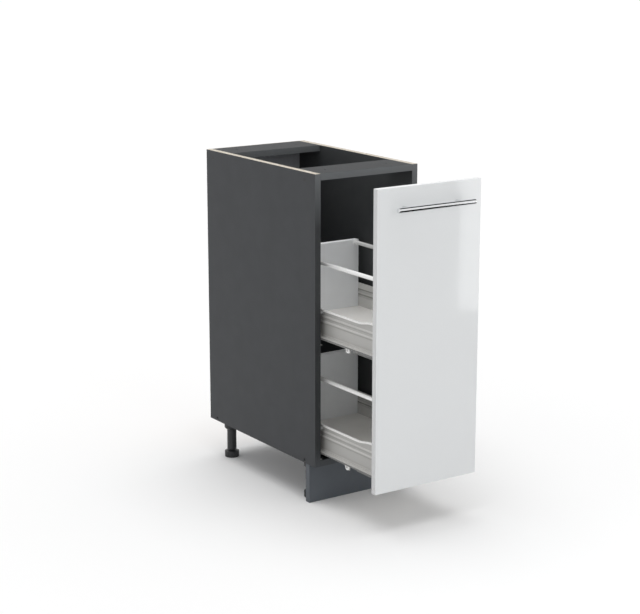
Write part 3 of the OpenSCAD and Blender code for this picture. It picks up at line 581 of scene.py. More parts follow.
def break_edges(piece: Piece, rule: EdgeBreak) -> None:
    """Round the long sharp edges of a piece.

    Args:
        piece: The piece.
        rule: The width and the choice of edges.
    """
    shape = bmesh.new()
    shape.from_mesh(piece.data)
    weight = shape.edges.layers.float.new("bevel_weight_edge")
    limit = math.radians(rule.sharper_than)
    for edge in shape.edges:
        if edge.is_manifold and edge.calc_face_angle(0.0) > limit:
            if edge.calc_length() > rule.shortest:
                edge[weight] = 1.0
    shape.to_mesh(piece.data)
    shape.free()
    bevel = piece.modifiers.new("broken edges", "BEVEL")
    bevel.limit_method = "WEIGHT"
    bevel.width = rule.width
    bevel.segments = rule.segments
    bevel.use_clamp_overlap = False
    bake(piece)
    smooth_by_angle(piece.data)
    weighted = piece.modifiers.new("face normals", "WEIGHTED_NORMAL")
    weighted.keep_sharp = True
    bake(piece)


def finish_faces(piece: Piece, base: Finish, others: Iterable[Accent] = ()) -> None:
    """Put finishes on a piece.

    Args:
        piece: The piece.
        base: The finish of all faces that nothing else takes.
        others: Its further finishes. A later one wins.
    """
    mesh = piece.data
    mesh.materials.clear()
    mesh.materials.append(base.material())
    for polygon in mesh.polygons:
        polygon.material_index = 0
    for index, (finish, takes) in enumerate(others, start=1):
        mesh.materials.append(finish.material())
        for polygon in mesh.polygons:
            if takes(polygon):
                polygon.material_index = index


# How far a face looks up: the span of its normal's upward part. These spans pick the faces that get
# painted light and shade.
FLAT_TOP = (0.8, 1.1)
UPPER_SLOPE = (0.12, 0.8)
UNDERSIDE = (-1.1, -0.12)


def looks(direction: Facing, limit: float = 0.9) -> FaceTest:
    """Make a test for faces that look one way, within an angle whose cosine is the limit."""
    return lambda polygon: polygon.normal.dot(direction.value) > limit


def leans(low: float, high: float) -> FaceTest:
    """Make a test for faces whose normal's upward part lies between two values."""
    return lambda polygon: low < polygon.normal.z < high


def stand_for(piece: Piece, body: str, *nodes: str) -> None:
    """Let a piece ride on a body and stand for its solids.

    Args:
        piece: The finished piece.
        body: The body that carries it.
        *nodes: The CAD nodes that it replaces.
    """
    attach(piece, body)
    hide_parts(*nodes)
    LOG.info("%s: %d faces on %s", piece.name, len(piece.data.polygons), body)


def repaint(node: str, finish: Finish) -> None:
    """Keep a solid as it is and give it a finish.

    Args:
        node: The CAD node.
        finish: Its finish.
    """
    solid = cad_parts[node]
    solid.data.materials.clear()
    solid.data.materials.append(finish.material())
    LOG.info("%s: finish %s", node, finish.name)


# ---------------------------- screws and threads


class Drive(Enum):
    """What a screw's head takes: a cross driver or a hexagon key."""

    CROSS = "cross"
    HEX = "hex"


@dataclass(frozen=True)
class HeadShape:
    """A turned head, in shares of its height and radius."""

    outline: tuple[tuple[float, float], ...]
    reach: float
    depth: float


HEADS = {
    Drive.HEX: HeadShape(((0.0, 0.7), (0.7, 1.0), (0.93, 1.0), (1.0, 0.94)), 0.5, 0.6),
    Drive.CROSS: HeadShape(((0.0, 1.0), (0.4, 1.0), (0.75, 0.92), (1.0, 0.7)), 0.56, 0.55),
}
# Half the width of a cross recess's arm, and the width of any recess's floor, as shares.
ARM, RECESS_FLOOR = 0.3, 0.85
# A screw's point: its length, its blunt end and how much of it the thread covers, as shares.
POINT, BLUNT, COVERED = 1.2, 0.35, 0.6
# A thread is at most this share of its radius and of its pitch deep.
DEPTH_OF_RADIUS, DEPTH_OF_PITCH = 0.28, 0.42
# The neck of a screw that has none of its own: a share of the thread's radius, and a length.
NECK_SHARE, NECK_LENGTH = 0.75, 0.8 * MM
# Points round a hexagon head, a rod, and one turn of a screw's and of a foot's thread.
HEX_POINTS, ROD_POINTS, SCREW_POINTS, FOOT_POINTS = 24, 20, 14, 28
# Points this near the largest radius lie on it, and levels this near each other are one.
ON_RIM, NEAR = 0.98, 0.01 * MM
# Decimals that a measured size keeps, in metres.
DECIMALS = 5
# How far the points of a foot's stem may lie off its radius.
STEM_FACETS = 0.03 * MM


def recess(drive: Drive, reach: float, angle: float) -> float:
    """Give the outline of a driver's recess.

    Args:
        drive: The kind of recess.
        reach: How far its corners reach from the axis.
        angle: The direction, in radians.

    Returns:
        The distance from the axis to the recess's wall in that direction.
    """
    if drive is Drive.HEX:
        return reach * math.cos(math.pi / 6) / math.cos(angle % (math.pi / 3) - math.pi / 6)
    turn = abs((angle + math.pi / 4) % (math.pi / 2) - math.pi / 4)
    arm = reach / math.cos(turn)
    side = ARM * reach / math.sin(turn) if turn > 0.0 else arm
    return min(arm, side)


def turned_head(drive: Drive, radius: float, height: float) -> Piece:
    """Turn a screw's head about Z, from its seat up to its recess.

    Args:
        drive: The kind of recess.
        radius: The head's radius.
        height: The head's height.

    Returns:
        The head, with its seat at the origin.
    """
    if drive is Drive.HEX:
        angles = [math.radians(360 / HEX_POINTS * i) for i in range(HEX_POINTS)]
    else:
        corner = math.atan(ARM)
        steps = (0.0, corner, math.pi / 8, math.pi / 4, 3 * math.pi / 8, math.pi / 2 - corner)
        angles = [quarter * math.pi / 2 + step for quarter in range(4) for step in steps]
    form = HEADS[drive]
    walls = [recess(drive, form.reach * radius, angle) for angle in angles]
    rings = [[(height * z, radius * r)] * len(angles) for z, r in form.outline]
    rings.append([(height, wall) for wall in walls])
    rings.append([(height - form.depth * height, RECESS_FLOOR * wall) for wall in walls])
    shape = bmesh.new()
    loops = [
        [shape.verts.new((r * math.cos(a), r * math.sin(a), z)) for a, (z, r) in zip(angles, ring)]
        for ring in rings
    ]
    for lower, upper in zip(loops, loops[1:]):
        for i in range(len(angles)):
            shape.faces.new((lower[i - 1], lower[i], upper[i], upper[i - 1]))
    shape.faces.new(loops[0][::-1])
    shape.faces.new(loops[-1])
    return new_object("turned_head", shape)


class NodeGroup:
    """A geometry tree under construction, with its named inputs."""

    def __init__(self, name: str, sizes: tuple[str, ...], **others: str) -> None:
        """Start a tree.

        Args:
            name: The tree's name.
            sizes: The names of its inputs that are plain numbers.
            **others: The name of each further input, with its type.
        """
        self.sizes = sizes
        self.tree = bpy.data.node_groups.new(name, "GeometryNodeTree")
        kinds = others | {label: "Float" for label in sizes} | {"Material": "Material"}
        face = self.tree.interface
        face.new_socket("Geometry", in_out="INPUT", socket_type="NodeSocketGeometry")
        self.keys = {}
        for label, kind in kinds.items():
            socket = face.new_socket(label, in_out="INPUT", socket_type="NodeSocket" + kind)
            self.keys[label] = socket.identifier
        face.new_socket("Geometry", in_out="OUTPUT", socket_type="NodeSocketGeometry")
        self.entry = self.tree.nodes.new("NodeGroupInput")
        self.numbers = [self.given(label) for label in sizes]

    def given(self, label: str) -> Socket:
        """Give the socket of a named input."""
        return self.entry.outputs[label]

    def add(self, kind: str, settings: dict[str, Any] | None = None, **inputs: Any) -> Socket:
        """Add a node and give its first output; an input's name has _ for each space."""
        named = {label.replace("_", " "): value for label, value in inputs.items()}
        return add_node(self.tree, kind, settings, named).outputs[0]

    def maths(self, operation: str, *values: Value) -> Socket:
        """Add a sum of two or three values."""
        inputs = dict(enumerate(values))
        return add_node(self.tree, "ShaderNodeMath", {"operation": operation}, inputs).outputs[0]

    def join(self, *parts: Socket) -> Socket:
        """Join pieces of geometry.

        Args:
            *parts: The pieces, in the order that they get in the mesh.

        Returns:
            The whole.
        """
        node = add_node(self.tree, "GeometryNodeJoinGeometry")
        for part in reversed(parts):
            self.tree.links.new(part, node.inputs[0])
        return node.outputs[0]

    def lifted(self, part: Socket, height: Value) -> Socket:
        """Move geometry along Z."""
        place = self.add("ShaderNodeCombineXYZ", Z=height)
        return self.add("GeometryNodeTransform", Geometry=part, Translation=place)

    def rod(self, radius: Value, length: Value, low: Value) -> Socket:
        """Add a round rod that rises from a height."""
        rod = self.add("GeometryNodeMeshCylinder", Vertices=ROD_POINTS, Radius=radius, Depth=length)
        return self.lifted(rod, self.maths("MULTIPLY_ADD", length, 0.5, low))

    def thread(
        self, radius: Value, depth: Value, pitch: Value, length: Value, points: int
    ) -> Socket:
        """Add a right-hand thread that rises from the origin.

        Args:
            radius: The crest's radius.
            depth: How far the crest stands out of the core.
            pitch: The rise of one turn.
            length: The threaded length.
            points: How many points one turn has.

        Returns:
            The thread's mesh.
        """
        rise = self.maths("MULTIPLY_ADD", depth, -2.0, length)
        line = self.maths("SUBTRACT", radius, depth)
        turns = {"Resolution": points, "Rotations": self.maths("DIVIDE", rise, pitch)}
        sizes = {"Start_Radius": line, "End_Radius": line, "Height": rise}
        helix = self.add("GeometryNodeCurveSpiral", **turns, **sizes)
        upright = self.add("GeometryNodeSetCurveNormal", {"mode": "Z_UP"}, Curve=helix)
        ridge = {"mode": "RADIUS"}
        crest = self.add("GeometryNodeCurvePrimitiveCircle", ridge, Resolution=4, Radius=depth)
        ends = {"Curve": upright, "Profile_Curve": crest, "Fill_Caps": True}
        return self.lifted(self.add("GeometryNodeCurveToMesh", **ends), depth)

    def close(self, part: Socket) -> None:
        """End the tree: real geometry with the material that it was given.

        Args:
            part: The geometry.
        """
        solid = self.add("GeometryNodeRealizeInstances", Geometry=part)
        coat = self.given("Material")
        dressed = self.add("GeometryNodeSetMaterial", Geometry=solid, Material=coat)
        exit_node = self.tree.nodes.new("NodeGroupOutput")
        self.tree.links.new(dressed, exit_node.inputs[0])

    def apply(self, piece: Piece, finish: Finish, sizes: Iterable[float], **others: Any) -> None:
        """Run the tree on a piece and keep its mesh.

        Args:
            piece: The piece whose mesh goes in.
            finish: The finish of what comes out.
            sizes: The tree's sizes, in their order.
            **others: A value for each further input.
        """
        modifier = piece.modifiers.new(self.tree.name, "NODES")
        modifier.node_group = self.tree
        values = dict(zip(self.sizes, sizes)) | others | {"Material": finish.material()}
        for label, value in values.items():
            modifier[self.keys[label]] = value
        bake(piece)


def screw_tree() -> NodeGroup:
    """Build the tree that stands a threaded screw on each point, turned by chance.

    Returns:
        The tree.
    """
    sizes = ("Neck Radius", "Neck Length", "Thread Radius", "Thread Length", "Depth", "Pitch")
    group = NodeGroup("screws_in_their_seats", sizes, Head="Object", Seed="Int")
    neck_r, neck, radius, length, depth, pitch = group.numbers
    core = group.maths("SUBTRACT", radius, depth)
    foot = group.maths("MULTIPLY", group.maths("ADD", neck, length), -1.0)
    tip = group.maths("MULTIPLY", radius, POINT)
    cone = group.add(
        "GeometryNodeMeshCone",
        Vertices=ROD_POINTS,
        Radius_Top=core,
        Radius_Bottom=group.maths("MULTIPLY", core, BLUNT),
        Depth=tip,
    )
    cone = group.lifted(cone, foot)
    shank = group.rod(core, group.maths("SUBTRACT", length, tip), group.maths("ADD", foot, tip))
    collar = group.rod(neck_r, neck, group.maths("MULTIPLY", neck, -1.0))
    bite = group.maths("MULTIPLY", tip, COVERED)
    coil = group.thread(radius, depth, pitch, group.maths("SUBTRACT", length, bite), SCREW_POINTS)
    coil = group.lifted(coil, group.maths("ADD", foot, bite))
    head = add_node(group.tree, "GeometryNodeObjectInfo", inputs={"Object": group.given("Head")})
    screw = group.join(cone, shank, collar, coil, head.outputs["Geometry"])
    vector = {"data_type": "FLOAT_VECTOR"}
    way = group.add("GeometryNodeInputNamedAttribute", vector, Name="way")
    upright = group.add("FunctionNodeAlignRotationToVector", {"axis": "Z"}, Vector=way)
    seed = {"Seed": group.given("Seed")}
    chance = add_node(group.tree, "FunctionNodeRandomValue", {"data_type": "FLOAT"}, seed)
    angle = group.maths("MULTIPLY", chance.outputs[1], math.tau)
    spin = group.add("FunctionNodeAxisAngleToRotation", Axis=(0.0, 0.0, 1.0), Angle=angle)
    local = {"rotation_space": "LOCAL"}
    turned = group.add("FunctionNodeRotateRotation", local, Rotation=upright, Rotate_By=spin)
    seats = group.given("Geometry")
    group.close(
        group.add("GeometryNodeInstanceOnPoints", Points=seats, Instance=screw, Rotation=turned)
    )
    return group


def foot_tree() -> NodeGroup:
    """Build the tree that winds a coarse thread round a foot's stem.

    Returns:
        The tree.
    """
    sizes = ("Radius", "Depth", "Pitch", "Length", "Low")
    group = NodeGroup("thread_on_a_stem", sizes, Place="Vector")
    radius, depth, pitch, length, low = group.numbers
    coil = group.lifted(group.thread(radius, depth, pitch, length, FOOT_POINTS), low)
    placed = group.add("GeometryNodeTransform", Geometry=coil, Translation=group.given("Place"))
    group.close(group.join(group.given("Geometry"), placed))
    return group


@dataclass(frozen=True)
class ScrewSize:
    """One size of screw, as its solid gives it, in metres."""

    head_r: float
    head_t: float
    neck_r: float
    neck: float
    thread_r: float
    thread: float


@dataclass
class Screws:
    """The screws of one solid, with turned heads and real threads for its plain rods."""

    node: str
    body: str
    finish: Finish
    pitch: float
    drive: Drive
    seed: int = 5

    def islands(self) -> list[list[Vector]]:
        """Split the solid's points into one list for each screw.

        Returns:
            The lists.
        """
        shape = merged(self.node)
        seen: set[bmesh.types.BMVert] = set()
        found = []
        for start in shape.verts:
            if start in seen:
                continue
            seen.add(start)
            todo, points = [start], []
            while todo:
                vert = todo.pop()
                points.append(vert.co.copy())
                for edge in vert.link_edges:
                    other = edge.other_vert(vert)
                    if other not in seen:
                        seen.add(other)
                        todo.append(other)
            found.append(points)
        shape.free()
        return found

    def measure(self, points: list[Vector]) -> tuple[ScrewSize, Vector, Vector]:
        """Read one screw.

        Args:
            points: The points of its solid.

        Returns:
            Its size, its seat and the way that its head looks.
        """
        low = Vector([min(p[i] for p in points) for i in range(3)])
        high = Vector([max(p[i] for p in points) for i in range(3)])
        span, middle = high - low, (low + high) / 2
        axis = min(range(3), key=lambda i: abs(span[(i + 1) % 3] - span[(i + 2) % 3]))
        flat = [Vector([0.0 if i == axis else (p - middle)[i] for i in range(3)]) for p in points]
        wide = max(v.length for v in flat)
        ends = [p[axis] for p, v in zip(points, flat) if v.length > ON_RIM * wide]
        out = 1.0 if sum(ends) / len(ends) > middle[axis] else -1.0
        outer = high[axis] if out > 0 else low[axis]
        rings = [
            (round(abs(outer - p[axis]), DECIMALS), round(v.length, DECIMALS))
            for p, v in zip(points, flat)
        ]
        head_t = max(u for u, r in rings if r > ON_RIM * wide)
        below = [(u, r) for u, r in rings if u > head_t - NEAR and r < ON_RIM * wide]
        tip = max(u for u, _ in below)
        thread_r = max(r for u, r in below if u > tip - NEAR)
        neck_r = max(r for _, r in below)
        if neck_r > thread_r + NEAR:
            neck = max(u for u, r in below if r > neck_r - NEAR) - head_t
        else:
            neck_r, neck = NECK_SHARE * thread_r, NECK_LENGTH
        way = Vector([out if i == axis else 0.0 for i in range(3)])
        seat = middle.copy()
        seat[axis] = outer - out * head_t
        sizes = (wide, head_t, neck_r, neck, thread_r, tip - head_t - neck)
        return ScrewSize(*(round(value, DECIMALS) for value in sizes)), seat, way

    def build(self, group: NodeGroup) -> None:
        """Stand a screw in each seat, all in one piece for the whole solid.

        Args:
            group: The tree that does it.
        """
        sets: dict[ScrewSize, list[tuple[Vector, Vector]]] = {}
        for points in self.islands():
            size, seat, way = self.measure(points)
            sets.setdefault(size, []).append((seat, way))
        whole = bmesh.new()
        for index, (size, places) in enumerate(sets.items()):
            seats = bmesh.new()
            ways = seats.verts.layers.float_vector.new("way")
            for seat, way in places:
                seats.verts.new(seat)[ways] = way
            batch = new_object(self.node + "_seats", seats)
            head = turned_head(self.drive, size.head_r, size.head_t)
            depth = min(DEPTH_OF_RADIUS * size.thread_r, DEPTH_OF_PITCH * self.pitch)
            sizes = (size.neck_r, size.neck, size.thread_r, size.thread, depth, self.pitch)
            group.apply(batch, self.finish, sizes, Head=head, Seed=self.seed + index)
            whole.from_mesh(batch.data)
            for spent in (batch, head):
                bpy.data.objects.remove(spent)
        piece = new_object(self.node + "_threaded", whole)
        finish_faces(piece, self.finish)
        smooth_by_angle(piece.data, THREAD_TURN)
        stand_for(piece, self.body, self.node)


# ---------------------------- sub-assemblies


INWARD = {"left": Facing.RIGHT, "right": Facing.LEFT}
LEVELS = ("upper", "lower")
THIN_BREAK = EdgeBreak(0.2 * MM, 1)


@dataclass
class Assembly:
    """A sub-assembly: the tree for its screws, the body that carries it and its edges."""

    screws: NodeGroup
    body: str = "carcass"
    edge: EdgeBreak = EdgeBreak(0.3 * MM)

    def dress(
        self,
        node: str,
        base: Finish,
        *others: Accent,
        edge: EdgeBreak | None = None,
        body: str | None = None,
    ) -> None:
        """Give a solid its broken edges and finishes, in a piece that stands for it.

        Args:
            node: The CAD node.
            base: The main finish.
            *others: Further finishes with their tests. A later one wins.
            edge: How its edges are broken, if not as usual here.
            body: The body that carries it, if not the usual one here.
        """
        piece = new_object(node + "_dressed", merged(node))
        break_edges(piece, edge or self.edge)
        finish_faces(piece, base, others)
        stand_for(piece, body or self.body, node)

    def fasten(
        self, node: str, finish: Finish, pitch: float = 1.4 * MM, drive: Drive = Drive.CROSS
    ) -> None:
        """Give a solid's screws their turned heads and threads."""
        Screws(node, self.body, finish, pitch, drive).build(self.screws)

    def build(self) -> None:
        """Build the sub-assembly, as each class below says."""
        raise NotImplementedError


@dataclass
class Carcass(Assembly):
    """The standing box: boards, their joints and the thin back."""

    edge: EdgeBreak = EdgeBreak(0.35 * MM)
    confirmat_pitch: float = 3.0 * MM

    def boards(self) -> None:
        """Dress the boards: satin faces, edging in front, sawn edges on top of the sides, with
        painted light and shade.
        """
        # The edging carries painted light at its ends.
        edging = (ANTHRACITE_EDGE_PAINTED_LIGHT, looks(Facing.FRONT))
        sawn = (RAW_EDGE, looks(Facing.UP))
        for side, inward in INWARD.items():
            # Painted light: the inner faces take a paler copy of the decor.
            inside = (ANTHRACITE_PAINTED_INNER_LIGHT, looks(inward))
            self.dress("side_panel_" + side, ANTHRACITE, edging, sawn, inside)
        for node in ("bottom_panel", "front_rail", "rear_rail"):
            # Painted shade: the faces that look up take a darker copy of the decor.
            self.dress(node, ANTHRACITE, edging, (ANTHRACITE_PAINTED_TOP_SHADE, looks(Facing.UP)))
        raw = (BROWN_BACK, looks(Facing.BACK))
        self.dress("back_panel", GREY_BACK, raw, sawn, edge=THIN_BREAK)

    def build(self) -> None:
        """Build the carcass: its boards, then what joins them."""
        self.boards()
        repaint("rail_dowels", BEECH)
        repaint("rail_cams", CAST_ZINC)
        repaint("cam_bolts", ZINC)
        repaint("back_panel_pins", ZINC)
        # Painted shade: the confirmat screws are blacked, which stands in for the shade in their
        # holes.
        self.fasten("confirmat_screws", BLACKED_STEEL_PAINTED_SHADE, self.confirmat_pitch, Drive.HEX)
        repaint("linking_hole_caps", CAP_PLASTIC)
        # Painted shade: the guide buttons take a grey copy of the nylon.
        repaint("guide_buttons", NYLON_PAINTED_SHADE)


@dataclass
class Base(Assembly):
    """What stands on the floor: legs, screw feet, the plinth and its clips."""

    corners: tuple[str, ...] = ("front_left", "front_right", "rear_left", "rear_right")
    stem_r: float = 9.0 * MM
    disc_top: float = 17.9 * MM
    thread_depth: float = 0.85 * MM
    thread_pitch: float = 3.0 * MM
    thread_gap: float = 0.5 * MM
    thread_short: float = 2.0 * MM

    def foot(self, corner: str, group: NodeGroup) -> None:
        """Cut a foot's stem down to its core and wind the thread on it.

        Args:
            corner: Which foot it is.
            group: The tree that winds the thread.
        """
        node = "foot_" + corner
        piece = new_object(node + "_threaded", merged(node))
        points = [vert.co for vert in piece.data.vertices]
        middle = [(min(p[i] for p in points) + max(p[i] for p in points)) / 2 for i in (0, 1)]
        top = max(p.z for p in points)
        for point in points:
            out = Vector((point.x - middle[0], point.y - middle[1]))
            if point.z > self.disc_top and abs(out.length - self.stem_r) < STEM_FACETS:
                out *= (self.stem_r - self.thread_depth) / out.length
                point.x, point.y = middle[0] + out.x, middle[1] + out.y
        length = top - self.disc_top - self.thread_short
        low = self.disc_top + self.thread_gap
        sizes = (self.stem_r, self.thread_depth, self.thread_pitch, length, low)
        group.apply(piece, BLACK_PP, sizes, Place=(*middle, 0.0))
        finish_faces(piece, BLACK_PP)
        smooth_by_angle(piece.data, THREAD_TURN)
        stand_for(piece, node, node)

    def build(self) -> None:
        """Build the base: the plinth with its clips, then the legs and their feet."""
        # The plinth's top takes the edging, with its painted light.
        self.dress("plinth", PLINTH_FACE, (ANTHRACITE_EDGE_PAINTED_LIGHT, looks(Facing.UP)))
        repaint("plinth_clips", BLACK_PP)
        self.fasten("plinth_clip_screws", ZINC)
        for corner in self.corners:
            repaint("leg_" + corner, BLACK_PP)
        group = foot_tree()
        for corner in self.corners:
            self.foot(corner, group)


@dataclass
class Runners(Assembly):
    """The full extension roller runners on both sides of both drawers."""

    lip_shade_x: float = 131.2 * MM
    screw_pitch: float = 2.2 * MM
    kinds: tuple[str, ...] = ("cabinet", "middle_front", "middle_rear", "drawer")

    def build(self) -> None:
        """Dress the three profiles of each runner, and finish the rollers and screws."""
        for level in LEVELS:
            for side in INWARD:
                for stage, body in (("cabinet", "carcass"), ("middle", "middle_runners")):
                    self.dress(f"{stage}_runner_{level}_{side}", DRAWER_COAT, body=body)
        # Painted light on the tops and sides of the drawer profiles, and painted shade on their
        # lips.
        self.dress(
            "drawer_runners",
            DRAWER_COAT,
            (DRAWER_COAT_PAINTED_LIGHT, leans(*FLAT_TOP)),
            (DRAWER_COAT_PAINTED_LIGHT, looks(Facing.LEFT)),
            (DRAWER_COAT_PAINTED_LIGHT, looks(Facing.RIGHT)),
            (LIP_PAINTED_SHADE, lambda polygon: abs(polygon.center.x) > self.lip_shade_x),
            body="pull_out",
        )
        for kind in self.kinds:
            for level in LEVELS:
                repaint(f"{kind}_rollers_{level}", NYLON)
        self.fasten("runner_screws", ZINC, self.screw_pitch)


@dataclass
class Front(Assembly):
    """The front panel with its bar handle."""

    body: str = "pull_out"
    edge: EdgeBreak = EdgeBreak(1.0 * MM, 4)
    flat_side: float = 0.98
    screw_pitch: float = 0.7 * MM

    def build(self) -> None:
        """Build the front panel, its handle and its buffers."""
        # Painted shade: the left and right sides take the greyer copy of the white film.
        sides = (looks(way, self.flat_side) for way in (Facing.LEFT, Facing.RIGHT))
        self.dress("front_panel", WHITE_GLOSS, *((WHITE_EDGE_PAINTED_SHADE, side) for side in sides))
        repaint("handle_bar", HANDLE_STEEL)
        repaint("handle_posts", HANDLE_STEEL)
        self.fasten("handle_screws", ZINC, self.screw_pitch)
        repaint("front_buffers", NYLON)


@dataclass
class Drawers(Assembly):
    """The two drawers: ribbed steel walls, boards, railings and brackets."""

    body: str = "pull_out"
    edge: EdgeBreak = EdgeBreak(0.4 * MM)
    sheet: EdgeBreak = EdgeBreak(0.5 * MM, 3, 1.5 * MM)
    rim_highlight_x: float = 121.6 * MM
    inner_face: float = 0.5
    bracket_tops: tuple[float, float] = (127.5 * MM, 415.5 * MM)
    bracket_shade: float = 7 * MM

    def shaded(self, polygon: bpy.types.MeshPolygon) -> bool:
        """Tell whether a bracket's face lies in the strip under the wall that gets painted shade.
        """
        drops = (top - polygon.center.z for top in self.bracket_tops)
        return any(0 < drop < self.bracket_shade for drop in drops)

    def build(self) -> None:
        """Build both drawers, their railings and their brackets."""
        for level in LEVELS:
            for side, inward in INWARD.items():
                # Painted light and shade on each wall: a pale copy of the coat inside, a paler one
                # on slopes that look up, a darker one under the folds and a nearly white rim.
                self.dress(
                    f"drawer_wall_{level}_{side}",
                    DRAWER_COAT,
                    (DRAWER_COAT_PAINTED_INNER_LIGHT, looks(inward, self.inner_face)),
                    (DRAWER_COAT_PAINTED_LIGHT, leans(*UPPER_SLOPE)),
                    (DRAWER_COAT_PAINTED_SHADE, leans(*UNDERSIDE)),
                    (RIM_PAINTED_HIGHLIGHT, leans(*FLAT_TOP)),
                    (RIM_PAINTED_HIGHLIGHT, lambda polygon: abs(polygon.center.x) > self.rim_highlight_x),
                    edge=self.sheet,
                )
            self.dress("drawer_base_" + level, WHITE_MELAMINE)
            self.dress("drawer_back_" + level, PALE_MELAMINE)
        repaint("railings", RAIL_COAT)
        repaint("railing_sockets", RAIL_COAT)
        # Painted shade: the brackets' faces in the strip under each wall take the dark lip copy.
        self.dress("front_brackets", ZINC, (LIP_PAINTED_SHADE, self.shaded), edge=THIN_BREAK)
        repaint("back_brackets", ZINC)
        self.fasten("drawer_screws", ZINC)


# ---------------------------- studio


@dataclass(frozen=True)
class Sun:
    """A soft far lamp: its strength, its height over the front horizon and its spread."""

    name: str
    strength: float
    height_deg: float
    spread_deg: float


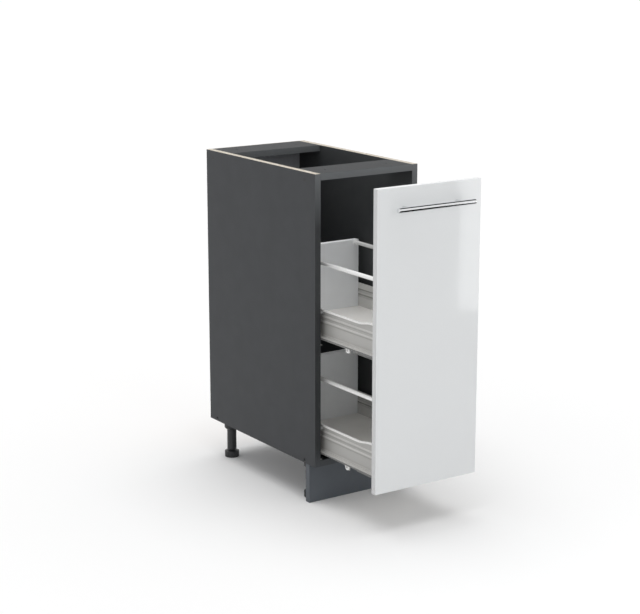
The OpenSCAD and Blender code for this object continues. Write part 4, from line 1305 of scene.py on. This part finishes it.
@dataclass
class Studio:
    """The camera, the pale floor and the soft light."""

    camera_place: Triple = (-2.333122, -3.285744, 1.437963)
    camera_yaw: float = 34.078
    camera_pitch: float = -13.451
    lens: float = 95.267
    sensor: float = 36.0
    far_end: float = 50.0
    ambient: float = 0.56
    suns: tuple[Sun, ...] = (
        Sun("overhead_soft_box", 0.54, 96.0, 56.0),
        Sun("front_fill", 0.085, 10.0, 30.0),
    )
    sun_place: Triple = (0.0, -0.6, 2.5)
    box_power: float = 1.6
    box_size: tuple[float, float] = (0.51, 0.83)
    box_place: Triple = (1.335, -1.427, 0.53)
    box_yaw: float = 34.0
    front_flag: tuple[Triple, Triple] = ((-0.9, -4.5, 0.004), (4.0, -0.32, 0.004))
    top_flag: tuple[Triple, Triple] = ((0.2, -1.0, 2.5), (3.6, 2.5, 2.5))
    floor_reach: float = 400.0
    floor_drop: float = 0.2 * MM
    floor_glow: float = 0.05
    floor_tone: str = "#f0f0f0"
    flag_tone: str = "#101010"

    def hang(self, data: bpy.types.ID, place: Triple, turn: Triple) -> Piece:
        """Put a lamp or the camera in its place.

        Args:
            data: The lamp or the camera.
            place: Its place.
            turn: Its turn about X, Y and Z, in degrees.

        Returns:
            Its object.
        """
        thing = bpy.data.objects.new(data.name, data)
        thing.location = place
        thing.rotation_euler = [math.radians(angle) for angle in turn]
        bpy.context.scene.collection.objects.link(thing)
        return thing

    def camera(self) -> None:
        """Place the camera where the photograph was taken from."""
        data = bpy.data.cameras.new("camera")
        data.lens = self.lens
        data.sensor_width = self.sensor
        data.clip_end = self.far_end
        turn = (90.0 + self.camera_pitch, 0.0, -self.camera_yaw)
        bpy.context.scene.camera = self.hang(data, self.camera_place, turn)

    def seen(self, tree: Tree) -> Socket:
        """Tell the rays that show the backdrop from those that only light the unit.

        Args:
            tree: The tree of the world or of a backdrop's material.

        Returns:
            1 for a ray from the camera, a reflection or a clear pane, and otherwise 0.
        """
        path = add_node(tree, "ShaderNodeLightPath").outputs
        either = path["Is Camera Ray"]
        for label in ("Is Glossy Ray", "Is Transmission Ray"):
            inputs = {0: either, 1: path[label]}
            either = add_node(tree, "ShaderNodeMath", {"operation": "MAXIMUM"}, inputs).outputs[0]
        return either

    def world(self) -> None:
        """Light evenly from all round, and show white to the camera and to reflections."""
        world = bpy.data.worlds.new("studio")
        tree = empty_tree(world)
        span = {"Value": self.seen(tree), "To Min": self.ambient, "To Max": 1.0}
        strength = add_node(tree, "ShaderNodeMapRange", inputs=span).outputs["Result"]
        inputs = {"Color": WHITE, "Strength": strength}
        light = add_node(tree, "ShaderNodeBackground", inputs=inputs)
        add_node(tree, "ShaderNodeOutputWorld", inputs={"Surface": light.outputs[0]})
        bpy.context.scene.world = world

    def lamps(self) -> None:
        """Light the unit from above and a little from behind, and fill its front softly."""
        for sun in self.suns:
            data = bpy.data.lights.new(sun.name, "SUN")
            data.energy = sun.strength * math.pi
            data.angle = math.radians(sun.spread_deg)
            self.hang(data, self.sun_place, (90.0 - sun.height_deg, 0.0, 0.0))

    def side_box(self) -> None:
        """Stand a tall soft box at the right, which only shows as the band in the gloss front."""
        data = bpy.data.lights.new("side_soft_box", "AREA")
        data.shape = "RECTANGLE"
        data.size, data.size_y = self.box_size
        data.energy = self.box_power * math.pi * data.size * data.size_y
        lamp = self.hang(data, self.box_place, (90.0, 0.0, self.box_yaw))
        lamp.visible_camera = False
        lamp.visible_diffuse = False

    def card(self, name: str, corners: tuple[Triple, Triple], material: Material) -> Piece:
        """Make a level rectangle.

        Args:
            name: Its name.
            corners: Two opposite corners, at one height.
            material: What it is made of.

        Returns:
            The rectangle's object.
        """
        (x0, y0, z), (x1, y1, _) = corners
        shape = bmesh.new()
        loop = ((x0, y0, z), (x1, y0, z), (x1, y1, z), (x0, y1, z))
        shape.faces.new([shape.verts.new(corner) for corner in loop])
        piece = new_object(name, shape)
        piece.data.materials.append(material)
        return piece

    def flags(self) -> None:
        """Hang dark cards that draw the dark lines in the polished bar, seen by gloss alone."""
        black = bpy.data.materials.new("black_flag_cloth")
        tree = empty_tree(black)
        cloth = add_node(tree, "ShaderNodeEmission", inputs={"Color": rgba(self.flag_tone)})
        add_node(tree, "ShaderNodeOutputMaterial", inputs={"Surface": cloth.outputs[0]})
        places = {"flag_in_front": self.front_flag, "flag_overhead": self.top_flag}
        for name, corners in places.items():
            flag = self.card(name, corners, black)
            flag.visible_camera = False
            flag.visible_diffuse = False
            flag.visible_shadow = False
            flag.visible_transmission = False

    def floor(self) -> None:
        """Lay the pale floor, which glows a little for the camera alone, so it ends in white."""
        material = bpy.data.materials.new("white_paper_floor")
        tree = empty_tree(material)
        matt = {"Color": rgba(self.floor_tone), "Roughness": 0.0}
        paper = add_node(tree, "ShaderNodeBsdfDiffuse", inputs=matt).outputs[0]
        shine = {"Color": WHITE, "Strength": self.floor_glow}
        glow = add_node(tree, "ShaderNodeEmission", inputs=shine).outputs[0]
        bright = add_node(tree, "ShaderNodeAddShader", inputs={0: paper, 1: glow}).outputs[0]
        blend = {"Fac": self.seen(tree), 1: paper, 2: bright}
        shown = add_node(tree, "ShaderNodeMixShader", inputs=blend).outputs[0]
        add_node(tree, "ShaderNodeOutputMaterial", inputs={"Surface": shown})
        far, low = self.floor_reach, -self.floor_drop
        floor = self.card("floor", ((-far, -far, low), (far, far, low)), material)

    def build(self) -> None:
        """Build the studio."""
        for part in (self.camera, self.world, self.lamps, self.side_box, self.flags, self.floor):
            part()
        bpy.context.scene.view_settings.view_transform = "Standard"


def main() -> None:
    """Build the unit and its studio."""
    logging.basicConfig(level=logging.INFO, format="%(message)s")
    screws = screw_tree()
    for kind in (Carcass, Base, Runners, Front, Drawers):
        LOG.info("building %s", kind.__name__)
        kind(screws).build()
    Studio().build()


if __name__ == "__main__":
    main()
